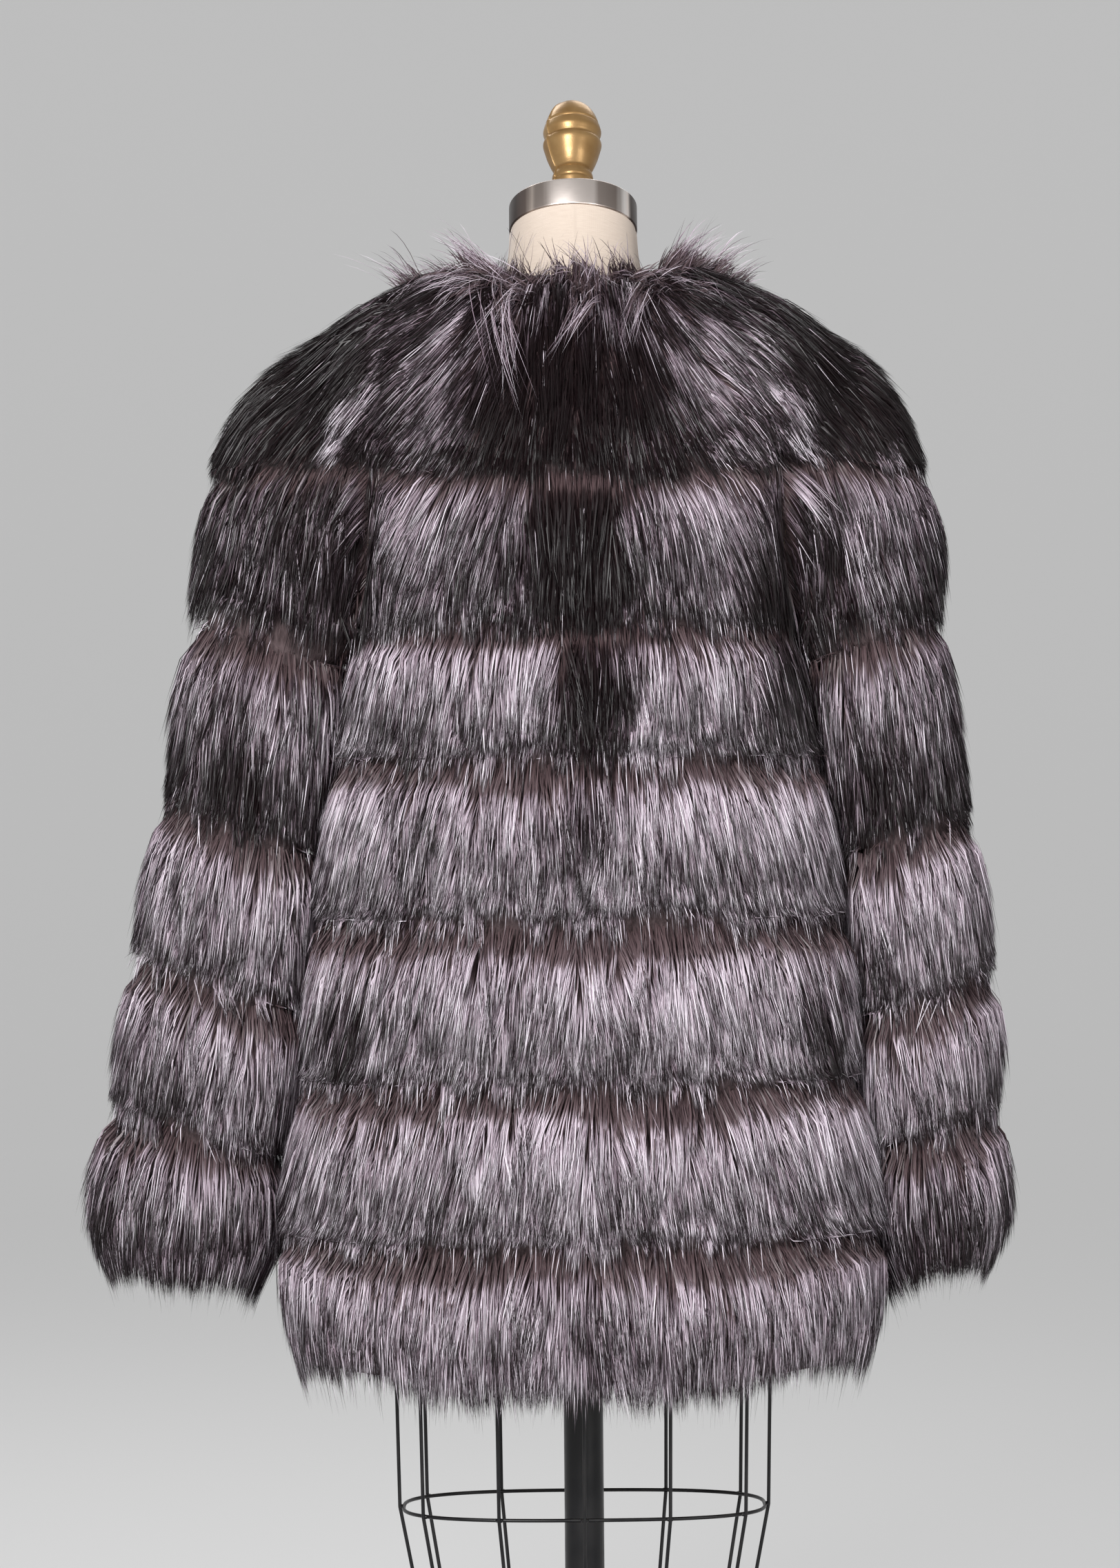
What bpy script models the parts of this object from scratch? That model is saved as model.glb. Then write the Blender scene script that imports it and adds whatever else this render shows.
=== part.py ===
"""Tiered fox fur coat on a limbless dress form.

The coat is five sewn pieces: a back, two fronts and two sleeves.  Each piece is a wall with a
plain leather skin inside and the reach of the fur outside, which is raised in level tiers.
It hangs on the shoulders of a linen-covered form with a neck plate, a turned finial, a wire
skirt cage, a pole and a round base.

Metres, +Z up.  The origin is on the floor under the pole.  The coat's back faces -Y, and +X is
the wearer's right.
"""

import math
from collections import namedtuple

import bpy
import numpy as np

# ------------------------------------------------------------------ driving dimensions
SEAM_GAP = 0.0003             # between two pieces that meet at a seam
REST_CLEARANCE = 0.0006       # between the form's shoulders and the skin that rests on them
COLUMNS_PER_QUARTER = 8       # faces round a quarter of the body
SLEEVE_COLUMNS = 18           # faces round a sleeve
DISC_SIDES = 40               # of the base and the neck plate
ROD_SIDES = 24                # of the pole and the finial
RING_CORNERS = 40             # of a cage ring
WIRE_SIDES = 6

PLATE_TILT = math.radians(21.0)       # the neck plate slopes down to the front
PLATE_RADIUS = 0.0560
PLATE_THICKNESS = 0.0245
PLATE_RIM = 0.0012                    # the plate's bevelled edges
NECK_TOP_HEIGHT = 1.4713              # centre of the neck's sloping top face
NECK_RADIUS = 0.0545

POLE_RADIUS = 0.0172
TORSO_BASE_HEIGHT = 0.7300
BASE_RADIUS = 0.2150
HUB_HEIGHT = 0.0700

WIRE_RADIUS = 0.0016
UPPER_RING_HEIGHT = 0.3600
LOWER_RING_HEIGHT = 0.2350
CAGE_BEND_HEIGHT = 0.4600             # below it the wires draw in towards the rings
WIRE_TAIL = 0.0040                    # how far the wires run on below the lower ring
# Half width of the cage's outline at the lower ring, upper ring, bend and torso.
CAGE_HALF_WIDTHS = (0.1335, 0.1575, 0.1595, 0.1600)
CAGE_DEPTH_SHARE = 0.603              # half depth of that outline over its half width
CAGE_SQUARENESS = 0.72
WIRE_ANGLES = (0, 20, 55, 90, 125, 160, 180, 200, 235, 270, 305, 340)    # degrees from centre back

# Heights of the seams between the body's tiers, from the yoke's lower edge down.
BODY_SEAMS = (1.256, 1.124, 1.010, 0.872, 0.733, 0.599)
BODY_SKIN_HEM = 0.502
BODY_FUR_HEM = 0.461

# ------------------------------------------------------------------ sections of the form
# Heights at the back, sides and front, half width, depths behind and before the axis, and
# squareness: 1 is an ellipse, less is boxier.
FormSection = namedtuple("FormSection", "z_back z_side z_front half_width back front squareness")
SLOPE = NECK_RADIUS * math.sin(PLATE_TILT)
FLAT = NECK_RADIUS * math.cos(PLATE_TILT)
FORM_SECTIONS = [
    FormSection(NECK_TOP_HEIGHT + SLOPE, NECK_TOP_HEIGHT, NECK_TOP_HEIGHT - SLOPE,
                NECK_RADIUS, FLAT, FLAT, 1.00),                     # 0 neck top, under the plate
    FormSection(1.456, 1.442, 1.420, 0.0575, 0.0560, 0.0550, 1.00),      # 1 neck
    FormSection(1.420, 1.416, 1.382, 0.0680, 0.0700, 0.0660, 0.98),      # 2 neck base
    FormSection(1.398, 1.402, 1.352, 0.1120, 0.0950, 0.0820, 0.95),      # 3
    FormSection(1.364, 1.386, 1.322, 0.1520, 0.1140, 0.0950, 0.92),      # 4
    FormSection(1.320, 1.358, 1.290, 0.1860, 0.1240, 0.1080, 0.90),      # 5 shoulder point
    FormSection(1.270, 1.300, 1.250, 0.1860, 0.1260, 0.1220, 0.88),      # 6
    FormSection(1.205, 1.215, 1.200, 0.1680, 0.1220, 0.1340, 0.88),      # 7
    FormSection(1.140, 1.140, 1.140, 0.1520, 0.1140, 0.1340, 0.88),      # 8 bust
    FormSection(1.060, 1.060, 1.060, 0.1320, 0.0980, 0.1120, 0.90),      # 9
    FormSection(1.000, 1.000, 1.000, 0.1240, 0.0880, 0.0980, 0.92),      # 10 waist
    FormSection(0.920, 0.920, 0.920, 0.1460, 0.1060, 0.1040, 0.90),      # 11
    FormSection(0.830, 0.830, 0.830, 0.1720, 0.1220, 0.1080, 0.88),      # 12 hip
    FormSection(TORSO_BASE_HEIGHT, TORSO_BASE_HEIGHT, TORSO_BASE_HEIGHT,
                0.1760, 0.1220, 0.1080, 0.88),                           # 13 torso base
]
SHOULDER_STATION = 5
FORM_STATIONS = (0, 0.5, 1, 1.5, 2, 2.3, 2.6, 3, 3.5, 4, 4.5, 5, 5.5, 6, 7, 8, 9, 9.5, 10, 10.5,
                 11, 12, 13)

# ------------------------------------------------------------------ sections of the coat's skin
# As above, and the reach of the fur at the back, sides and front.  Above the shoulder point the
# skin is the form's own surface, so those rows repeat the form's and only the reach counts.
CoatSection = namedtuple(
    "CoatSection",
    "z_back z_side z_front half_width back front squareness back_pile side_pile front_pile")
COAT_SECTIONS = [
    CoatSection(*FORM_SECTIONS[0], 0.010, 0.036, 0.030),
    CoatSection(*FORM_SECTIONS[1], 0.010, 0.036, 0.030),
    CoatSection(*FORM_SECTIONS[2], 0.010, 0.036, 0.030),
    CoatSection(*FORM_SECTIONS[3], 0.037, 0.038, 0.036),
    CoatSection(*FORM_SECTIONS[4], 0.038, 0.038, 0.037),
    CoatSection(1.322, 1.356, 1.292, 0.205, 0.133, 0.114, 0.90, 0.038, 0.037, 0.038),    # 5
    CoatSection(1.272, 1.292, 1.250, 0.206, 0.138, 0.132, 0.88, 0.038, 0.036, 0.038),    # 6
    CoatSection(1.205, 1.205, 1.200, 0.192, 0.139, 0.142, 0.88, 0.038, 0.026, 0.038),    # 7
    CoatSection(1.140, 1.140, 1.140, 0.183, 0.138, 0.143, 0.88, 0.038, 0.001, 0.038),    # 8
    CoatSection(1.060, 1.060, 1.060, 0.186, 0.138, 0.139, 0.88, 0.038, 0.013, 0.038),    # 9
    CoatSection(0.970, 0.970, 0.970, 0.194, 0.141, 0.137, 0.88, 0.039, 0.020, 0.038),    # 10
    CoatSection(0.880, 0.880, 0.880, 0.203, 0.146, 0.139, 0.88, 0.039, 0.024, 0.038),    # 11
    CoatSection(0.790, 0.790, 0.790, 0.211, 0.152, 0.143, 0.88, 0.040, 0.024, 0.039),    # 12
    CoatSection(0.700, 0.700, 0.700, 0.218, 0.158, 0.148, 0.88, 0.040, 0.025, 0.039),    # 13
    CoatSection(0.600, 0.603, 0.600, 0.225, 0.164, 0.153, 0.88, 0.042, 0.034, 0.041),    # 14
    CoatSection(0.490, 0.500, 0.490, 0.228, 0.167, 0.156, 0.88, 0.042, 0.040, 0.041),    # 15
]
DRAPE_FULL_STATION = 6.2      # from here down the coat keeps its own sections
PILE_SIDE_START = math.sin(math.radians(42))     # where the reach starts to change to the side's
PILE_SIDE_END = math.sin(math.radians(80))
LEAST_PILE = 0.0022
FULL_LIFT_PILE = 0.020        # where the reach is less, a row's lift is less in proportion

# The yoke runs from the neck's edge over the shoulders.  Station, share of the reach, and how far
# the fur's edge stands above the skin's.
BodyRow = namedtuple("BodyRow", "station share lift")
YOKE_ROWS = [
    BodyRow(2.30, 0.50, 0.010), BodyRow(2.60, 0.82, 0.004), BodyRow(3.00, 1.00, 0.0),
    BodyRow(3.50, 1.00, 0.0), BodyRow(4.00, 1.00, 0.0), BodyRow(4.50, 1.00, 0.0),
    BodyRow(5.00, 1.00, 0.0), BodyRow(5.25, 1.00, 0.0), BodyRow(5.50, 1.00, 0.0),
    BodyRow(5.75, 1.00, 0.0), BodyRow(6.00, 0.99, 0.0),
]

# A tier from its upper seam down: share of its height, share of the reach, and lift.  The notch
# is tucked under the lip of the tier above.
TierRow = namedtuple("TierRow", "down share lift")
LEDGE = 0.0033
NOTCH = TierRow(0.03, 0.70, LEDGE)
SWELL = TierRow(0.14, 0.93, 0.0)
FULL = TierRow(0.36, 1.02, 0.0)
LIP = TierRow(0.97, 0.93, -LEDGE)
PLAIN_TIER = (NOTCH, SWELL, FULL, LIP)
ARMHOLE_TIER = (NOTCH, SWELL, FULL, TierRow(0.55, 1.01, 0.0), TierRow(0.71, 1.00, 0.0),
                TierRow(0.85, 0.99, 0.0), LIP)
END_TIER = (NOTCH, SWELL, TierRow(0.32, 1.03, 0.0), TierRow(0.52, 1.00, 0.0),
            TierRow(0.70, 0.88, 0.0), TierRow(0.86, 0.62, 0.0), TierRow(1.00, 0.24, 0.0))

# ------------------------------------------------------------------ armholes and sleeves
BACK_ARMHOLE_DIP = math.radians(31)     # how far each armhole's edge bows in from the side
FRONT_ARMHOLE_DIP = math.radians(34)
ARMHOLE_POWER = 0.75
ARMPIT_SPREAD = 0.020         # where the edge is this far from the underarm it turns half away
ARMPIT_LEAN = 0.22            # and leans out towards the arm by this much for each unit down
ARMPIT_PILE = 0.003
FOLD_START, FOLD_END = 0.45, 0.95     # shares of the armhole's depth between which it turns

# The sleeve's cap from the shoulder point down to the underarm: share of the armhole's depth,
# then the skin's outermost line, out from the centre plane and up.
CapSection = namedtuple("CapSection", "share x_outer z_outer")

# Below the underarm: heights of the outer and inner side, their places out from the centre
# plane, the middle's place along Y, half the depth, and the fur's reach on both sides.
SleeveSection = namedtuple(
    "SleeveSection", "z_outer z_inner x_inner x_outer y_centre half_depth inner_pile outer_pile")

CAPS = {
    "left": [
        CapSection(0.00, 0.205, 1.356), CapSection(0.10, 0.240, 1.332),
        CapSection(0.20, 0.266, 1.304), CapSection(0.385, 0.289, 1.2640),
        CapSection(0.70, 0.299, 1.198), CapSection(1.00, 0.305, 1.148),
    ],
    "right": [
        CapSection(0.00, 0.205, 1.356), CapSection(0.10, 0.238, 1.332),
        CapSection(0.20, 0.257, 1.304), CapSection(0.385, 0.275, 1.2620),
        CapSection(0.70, 0.290, 1.198), CapSection(1.00, 0.289, 1.144),
    ],
}
SLEEVES = {
    "left": [
        SleeveSection(1.148, 1.130, 0.1920, 0.305, 0.000, 0.064, 0.0070, 0.036),   # 0 underarm
        SleeveSection(1.128, 1.092, 0.2100, 0.308, 0.000, 0.062, 0.0090, 0.036),   # 1 tier 2 to 3
        SleeveSection(1.055, 1.015, 0.2290, 0.320, 0.000, 0.060, 0.0150, 0.036),   # 2
        SleeveSection(0.973, 0.928, 0.2440, 0.335, 0.002, 0.057, 0.0160, 0.036),   # 3 tier 3 to 4
        SleeveSection(0.8376, 0.795, 0.2590, 0.361, 0.005, 0.054, 0.0170, 0.038),  # 4 tier 4 to 5
        SleeveSection(0.711, 0.672, 0.2850, 0.378, 0.010, 0.050, 0.0190, 0.041),   # 5 tier 5 to 6
        SleeveSection(0.588, 0.584, 0.2960, 0.393, 0.014, 0.048, 0.0240, 0.046),   # 6 cuff's edge
    ],
    "right": [
        SleeveSection(1.144, 1.130, 0.1920, 0.289, 0.000, 0.064, 0.0070, 0.035),
        SleeveSection(1.130, 1.095, 0.2090, 0.291, 0.002, 0.062, 0.0090, 0.035),
        SleeveSection(1.045, 1.015, 0.2290, 0.302, 0.008, 0.060, 0.0145, 0.035),
        SleeveSection(0.955, 0.926, 0.2450, 0.317, 0.014, 0.058, 0.0155, 0.035),
        SleeveSection(0.8195, 0.784, 0.2560, 0.335, 0.022, 0.056, 0.0170, 0.036),
        SleeveSection(0.705, 0.668, 0.2680, 0.337, 0.030, 0.055, 0.0180, 0.038),
        SleeveSection(0.588, 0.584, 0.2800, 0.336, 0.036, 0.054, 0.0220, 0.042),
    ],
}
SLEEVE_SEAMS = (1, 3, 4, 5, 6)        # sleeve stations of the seams below the underarm
CUFF_FUR_DROP = 0.030                 # the fur ends this far below the skin's edge
CAP_ROUND_START, CAP_ROUND_END = 0.3, 0.8     # shares of its depth where a cap grows to a tube
EDGE_BLEND = 0.045                    # length along a cap's row over which it meets the armhole
SIDES = {"left": -1.0, "right": 1.0}

# ------------------------------------------------------------------ turned profiles
# Distance along the axis, radius.
FINIAL_PROFILE = [
    (0.0000, 0.0150), (0.0100, 0.0158), (0.0180, 0.0172), (0.0240, 0.0181), (0.0290, 0.0179),
    (0.0340, 0.0168), (0.0400, 0.0194), (0.0470, 0.0222), (0.0540, 0.0243), (0.0595, 0.0257),
    (0.0628, 0.0253), (0.0655, 0.0237), (0.0680, 0.0244), (0.0726, 0.0256), (0.0780, 0.0245),
    (0.0830, 0.0229), (0.0890, 0.0205), (0.0960, 0.0158), (0.1010, 0.0090), (0.1032, 0.0010),
]
BASE_PROFILE = [
    (0.0000, BASE_RADIUS - 0.0030), (0.0030, BASE_RADIUS), (0.0120, BASE_RADIUS),
    (0.0165, BASE_RADIUS - 0.0060), (0.0240, 0.1500), (0.0310, 0.0850), (0.0380, 0.0520),
    (0.0480, 0.0340), (HUB_HEIGHT - 0.0030, 0.0290), (HUB_HEIGHT, 0.0265),
]

# ------------------------------------------------------------------ materials
Finish = namedtuple("Finish", "colour roughness metallic")
FINISHES = {
    "fox_fur": Finish((0.165, 0.150, 0.152), 0.75, 0.0),
    "linen": Finish((0.760, 0.700, 0.600), 0.85, 0.0),
    "brushed_steel": Finish((0.560, 0.540, 0.530), 0.32, 1.0),
    "gold_paint": Finish((0.480, 0.340, 0.130), 0.38, 0.6),
    "black_enamel": Finish((0.012, 0.012, 0.013), 0.35, 0.0),
}


# ------------------------------------------------------------------ small helpers
def smoothstep(low, high, value):
    """0 below low, 1 above high and a smooth rise between."""
    t = np.clip((value - low) / (high - low), 0.0, 1.0)
    return t * t * (3.0 - 2.0 * t)


def unit(vectors):
    return vectors / np.maximum(np.linalg.norm(vectors, axis=-1, keepdims=True), 1e-12)


def read_sections(table, stations):
    """Catmull-Rom reading of a table's rows at fractional station numbers."""
    rows = np.array(table, dtype=float)
    stations = np.asarray(stations, dtype=float)
    low = np.clip(np.floor(stations).astype(int), 0, len(rows) - 2)
    t = (stations - low)[..., None]
    before, here, after, beyond = (rows[np.clip(low + k, 0, len(rows) - 1)] for k in (-1, 0, 1, 2))
    return 0.5 * (2 * here + (after - before) * t
                  + (2 * before - 5 * here + 4 * after - beyond) * t ** 2
                  + (3 * here - before - 3 * after + beyond) * t ** 3)


def material(name):
    """The named finish as a Principled material, made once."""
    if name in bpy.data.materials:
        return bpy.data.materials[name]
    finish = FINISHES[name]
    new = bpy.data.materials.new(name)
    new.use_nodes = True
    shader = new.node_tree.nodes["Principled BSDF"]
    shader.inputs["Base Color"].default_value = (*finish.colour, 1.0)
    shader.inputs["Roughness"].default_value = finish.roughness
    shader.inputs["Metallic"].default_value = finish.metallic
    new.diffuse_color = (*finish.colour, 1.0)
    return new


def add_object(name, points, faces, finish, sharp_degrees=50):
    """A named mesh object, smooth but for edges sharper than the given angle."""
    mesh = bpy.data.meshes.new(name)
    mesh.from_pydata([tuple(p) for p in points], [], [tuple(f) for f in faces])
    mesh.shade_smooth()
    mesh.set_sharp_from_angle(angle=math.radians(sharp_degrees))
    mesh.materials.append(material(finish))
    made = bpy.data.objects.new(name, mesh)
    bpy.context.scene.collection.objects.link(made)
    return made


def strip(first, second):
    """Triangles between two equal rows of point numbers, facing right of the rows' direction."""
    faces = []
    for k in range(len(first) - 1):
        a, b, c, d = first[k], first[k + 1], second[k + 1], second[k]
        faces += [(a, c, b), (a, d, c)]
    return faces


# ------------------------------------------------------------------ the body's surface
def ring_point(section, angle):
    """A point round the body; angle 0 is centre back (-Y), a quarter turn is +X."""
    z_back, z_side, z_front, half_width, back, front, squareness = (
        section[..., k] for k in range(7))
    sine, cosine = np.sin(angle), np.cos(angle)
    x = half_width * np.sign(sine) * np.abs(sine) ** squareness
    y = np.where(cosine > 0, -back, front) * np.abs(cosine) ** squareness
    z = (z_side + 0.5 * (z_back - z_front) * cosine
         + (0.5 * (z_back + z_front) - z_side) * cosine ** 2)
    return np.stack([x, y, z], axis=-1)


def surface_normal(surface, station, angle, step=0.01):
    """Outward unit normal of surface(station, angle), from small steps both ways."""
    down = surface(station + step, angle) - surface(station - step, angle)
    onward = surface(station, angle + step) - surface(station, angle - step)
    return unit(np.cross(down, onward))


def form_surface(station, angle):
    return ring_point(read_sections(FORM_SECTIONS, station), angle)


def coat_skin(station, angle):
    """The leather's surface: the form's own over the shoulders, then the coat's sections."""
    own = ring_point(read_sections(COAT_SECTIONS, station), angle)
    on_form = np.clip(station, 0, len(FORM_SECTIONS) - 1)
    form = form_surface(on_form, angle)
    form = form + REST_CLEARANCE * surface_normal(form_surface, on_form, angle)
    hang = smoothstep(SHOULDER_STATION - 1, DRAPE_FULL_STATION, station)[..., None]
    return form + hang * (own - form)


def coat_pile(station, angle):
    """How far the fur reaches off the skin: its own value at back, sides and front."""
    section = read_sections(COAT_SECTIONS, station)
    main = np.where(np.cos(angle) > 0, section[..., 7], section[..., 9])
    side_share = smoothstep(PILE_SIDE_START, PILE_SIDE_END, np.abs(np.sin(angle)))
    return np.maximum(main + (section[..., 8] - main) * side_share, LEAST_PILE)


def station_at(height):
    """The coat's station whose centre-back height is the given one."""
    stations = np.linspace(SHOULDER_STATION, len(COAT_SECTIONS) - 1, 800)
    heights = read_sections(COAT_SECTIONS, stations)[:, 0]
    return np.interp(-np.asarray(height), -heights, stations)


def body_rows():
    """Station, share of the reach and lift of every row, from the neck's edge to the hem."""
    rows = list(YOKE_ROWS)
    first = BODY_SEAMS[0]
    lip_margin = (first - BODY_SEAMS[1]) * (1.0 - LIP.down)
    rows.append(BodyRow(station_at(first + lip_margin), LIP.share, LIP.lift))
    for top, bottom in zip(BODY_SEAMS[:-1], BODY_SEAMS[1:]):
        tier = ARMHOLE_TIER if top == first else PLAIN_TIER
        rows += [BodyRow(station_at(top - row.down * (top - bottom)), row.share, row.lift)
                 for row in tier]
    top = BODY_SEAMS[-1]
    for row in END_TIER:
        skin_height = top - row.down * (top - BODY_SKIN_HEM)
        fur_height = top - row.down * (top - BODY_FUR_HEM)
        rows.append(BodyRow(station_at(skin_height), row.share,
                            row.lift + fur_height - skin_height))
    return rows


BODY_ROWS = body_rows()
STATIONS = np.array([row.station for row in BODY_ROWS])
SHARES = np.array([row.share for row in BODY_ROWS])
LIFTS = np.array([row.lift for row in BODY_ROWS])
TIP_ROW = int(np.flatnonzero(STATIONS == SHOULDER_STATION)[0])
UNDERARM_ROW = len(YOKE_ROWS) + len(ARMHOLE_TIER)
TIP_STATION, UNDERARM_STATION = STATIONS[TIP_ROW], STATIONS[UNDERARM_ROW]


def fur_surface(station, angle, share, lift):
    """The fur's reach over the skin, by the row's share of it, raised by the row's lift."""
    pile = coat_pile(station, angle)
    point = coat_skin(station, angle)
    point = point + (pile * share)[..., None] * surface_normal(coat_skin, station, angle)
    point[..., 2] += lift * np.minimum(1.0, pile / FULL_LIFT_PILE)
    return point


def armhole_angle(station, dip):
    """How far round the panel's edge lies: a quarter turn, less a bow between tip and underarm."""
    share = np.clip((station - TIP_STATION) / (UNDERARM_STATION - TIP_STATION), 0.0, 1.0)
    return math.pi / 2 - dip * np.sin(math.pi * share) ** ARMHOLE_POWER


def armhole_edge(side, dip, front):
    """The armhole's edge on the skin and on the fur, from the shoulder point to the underarm.

    The fur's edge lies along the surface's normal, and turns down and away towards the
    underarm, where the fur of the body meets the fur of the sleeve.
    """
    rows = np.arange(TIP_ROW, UNDERARM_ROW + 1)
    angles = armhole_angle(STATIONS[rows], dip)
    angles = side * (math.pi - angles if front else angles)
    skin = coat_skin(STATIONS[rows], angles)
    normal = surface_normal(coat_skin, STATIONS[rows], angles)
    share = (STATIONS[rows] - TIP_STATION) / (UNDERARM_STATION - TIP_STATION)
    fold = smoothstep(FOLD_START, FOLD_END, share)[:, None]
    away = unit(np.stack([np.full(len(rows), side * ARMPIT_LEAN), skin[:, 1] / ARMPIT_SPREAD,
                          -np.ones(len(rows))], axis=-1))
    reach = np.maximum(coat_pile(STATIONS[rows], angles) * SHARES[rows], ARMPIT_PILE)
    fur = skin + reach[:, None] * unit(normal * (1.0 - fold) + away * fold)
    fur[:, 2] += LIFTS[rows] * (1.0 - fold[:, 0])
    return skin, fur


# ------------------------------------------------------------------ panels of the body
def panel_angles(which):
    """Angles of a panel's columns in each row, from its left edge to its right edge."""
    if which == "back":
        edge = armhole_angle(STATIONS, BACK_ARMHOLE_DIP)
        spread = np.linspace(-1.0, 1.0, 2 * COLUMNS_PER_QUARTER + 1)
        return edge[:, None] * spread[None, :]
    edge = math.pi - armhole_angle(STATIONS, FRONT_ARMHOLE_DIP)
    spread = np.linspace(0.0, 1.0, COLUMNS_PER_QUARTER + 1)
    angles = edge[:, None] + (math.pi - edge[:, None]) * spread[None, :]
    return angles if which == "front_right" else -angles[:, ::-1]


def narrowed(grid, at_start, at_end):
    """Moves the grid's edge columns half a seam gap inwards, in the rows given as true."""
    grid = grid.copy()
    start_way = unit(grid[:, 1] - grid[:, 0])
    end_way = unit(grid[:, -2] - grid[:, -1])
    grid[at_start, 0] += 0.5 * SEAM_GAP * start_way[at_start]
    grid[at_end, -1] += 0.5 * SEAM_GAP * end_way[at_end]
    return grid


def wall(name, outer, inner, finish="fox_fur"):
    """A closed wall between two grids of rows and columns, with strips round its edges."""
    rows, columns = outer.shape[:2]
    count = rows * columns
    out_ids = np.arange(count).reshape(rows, columns)
    in_ids = out_ids + count
    faces = []
    for k in range(rows - 1):
        faces += strip(out_ids[k], out_ids[k + 1])
        faces += [face[::-1] for face in strip(in_ids[k], in_ids[k + 1])]
    faces += strip(in_ids[0], out_ids[0]) + strip(out_ids[-1], in_ids[-1])
    faces += [face[::-1] for face in strip(in_ids[:, 0], out_ids[:, 0])]
    faces += strip(in_ids[:, -1], out_ids[:, -1])
    points = np.concatenate([outer.reshape(-1, 3), inner.reshape(-1, 3)])
    return add_object(name, points, faces, finish)


def panel_armholes(which):
    """For each of a panel's armhole edges: its column, side, dip, and whether it is a front."""
    if which == "back":
        return [(0, -1.0, BACK_ARMHOLE_DIP, False), (-1, 1.0, BACK_ARMHOLE_DIP, False)]
    if which == "front_right":
        return [(0, 1.0, FRONT_ARMHOLE_DIP, True)]
    return [(-1, -1.0, FRONT_ARMHOLE_DIP, True)]


def add_panel(name, which):
    """One piece of the coat's body between its two side edges."""
    angles = panel_angles(which)
    stations = np.broadcast_to(STATIONS[:, None], angles.shape)
    inner = coat_skin(stations, angles)
    outer = fur_surface(stations, angles, SHARES[:, None], LIFTS[:, None])
    for column, side, dip, front in panel_armholes(which):
        outer[TIP_ROW:UNDERARM_ROW + 1, column] = armhole_edge(side, dip, front)[1]
    row_numbers = np.arange(len(STATIONS))
    seamed = (row_numbers <= TIP_ROW) | (row_numbers >= UNDERARM_ROW)
    always = np.ones(len(STATIONS), dtype=bool)
    at_start = always if which == "front_left" else seamed
    at_end = always if which == "front_right" else seamed
    wall(name, narrowed(outer, at_start, at_end), narrowed(inner, at_start, at_end))


# ------------------------------------------------------------------ sleeves
def armhole_loop(side):
    """The armhole's edge as two lines of points, back and front, on the skin and on the fur.

    Each runs from the shoulder point to the underarm, moved a seam gap towards the sleeve,
    square to the edge and to the fur.
    """
    back_skin, back_fur = armhole_edge(side, BACK_ARMHOLE_DIP, False)
    front_skin, front_fur = armhole_edge(side, FRONT_ARMHOLE_DIP, True)
    skin = np.concatenate([back_skin, front_skin[-2:0:-1]])
    fur = np.concatenate([back_fur, front_fur[-2:0:-1]])
    along = np.roll(skin, -1, axis=0) - np.roll(skin, 1, axis=0)
    off = side * SEAM_GAP * unit(np.cross(fur - skin, along))
    skin, fur = skin + off, fur + off
    count = len(back_skin)
    front = np.concatenate([[0], np.arange(len(skin) - 1, count - 1, -1), [count - 1]])
    return skin[:count], skin[front], fur[:count], fur[front]


def edge_weights(row):
    """1 at the start, or at the end, of a row of points, and 0 past the blend's length from it."""
    steps = np.linalg.norm(np.diff(row, axis=0), axis=1)
    walked = np.concatenate([[0.0], np.cumsum(steps)])
    reach = min(EDGE_BLEND, 0.5 * walked[-1])
    return 1.0 - smoothstep(0.0, reach, walked), 1.0 - smoothstep(0.0, reach, walked[-1] - walked)


def sleeve_rows():
    """Station, share of the reach and lift of a sleeve's rows below the underarm."""
    rows = [(SLEEVE_SEAMS[0] - 0.07, LIP.share, LIP.lift)]
    last = SLEEVE_SEAMS[-2]
    for top, bottom in zip(SLEEVE_SEAMS[:-1], SLEEVE_SEAMS[1:]):
        tier = END_TIER if top == last else PLAIN_TIER
        for row in tier:
            drop = -CUFF_FUR_DROP * row.down if top == last else 0.0
            rows.append((top + row.down * (bottom - top), row.share, row.lift + drop))
    return np.array(rows)


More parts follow.
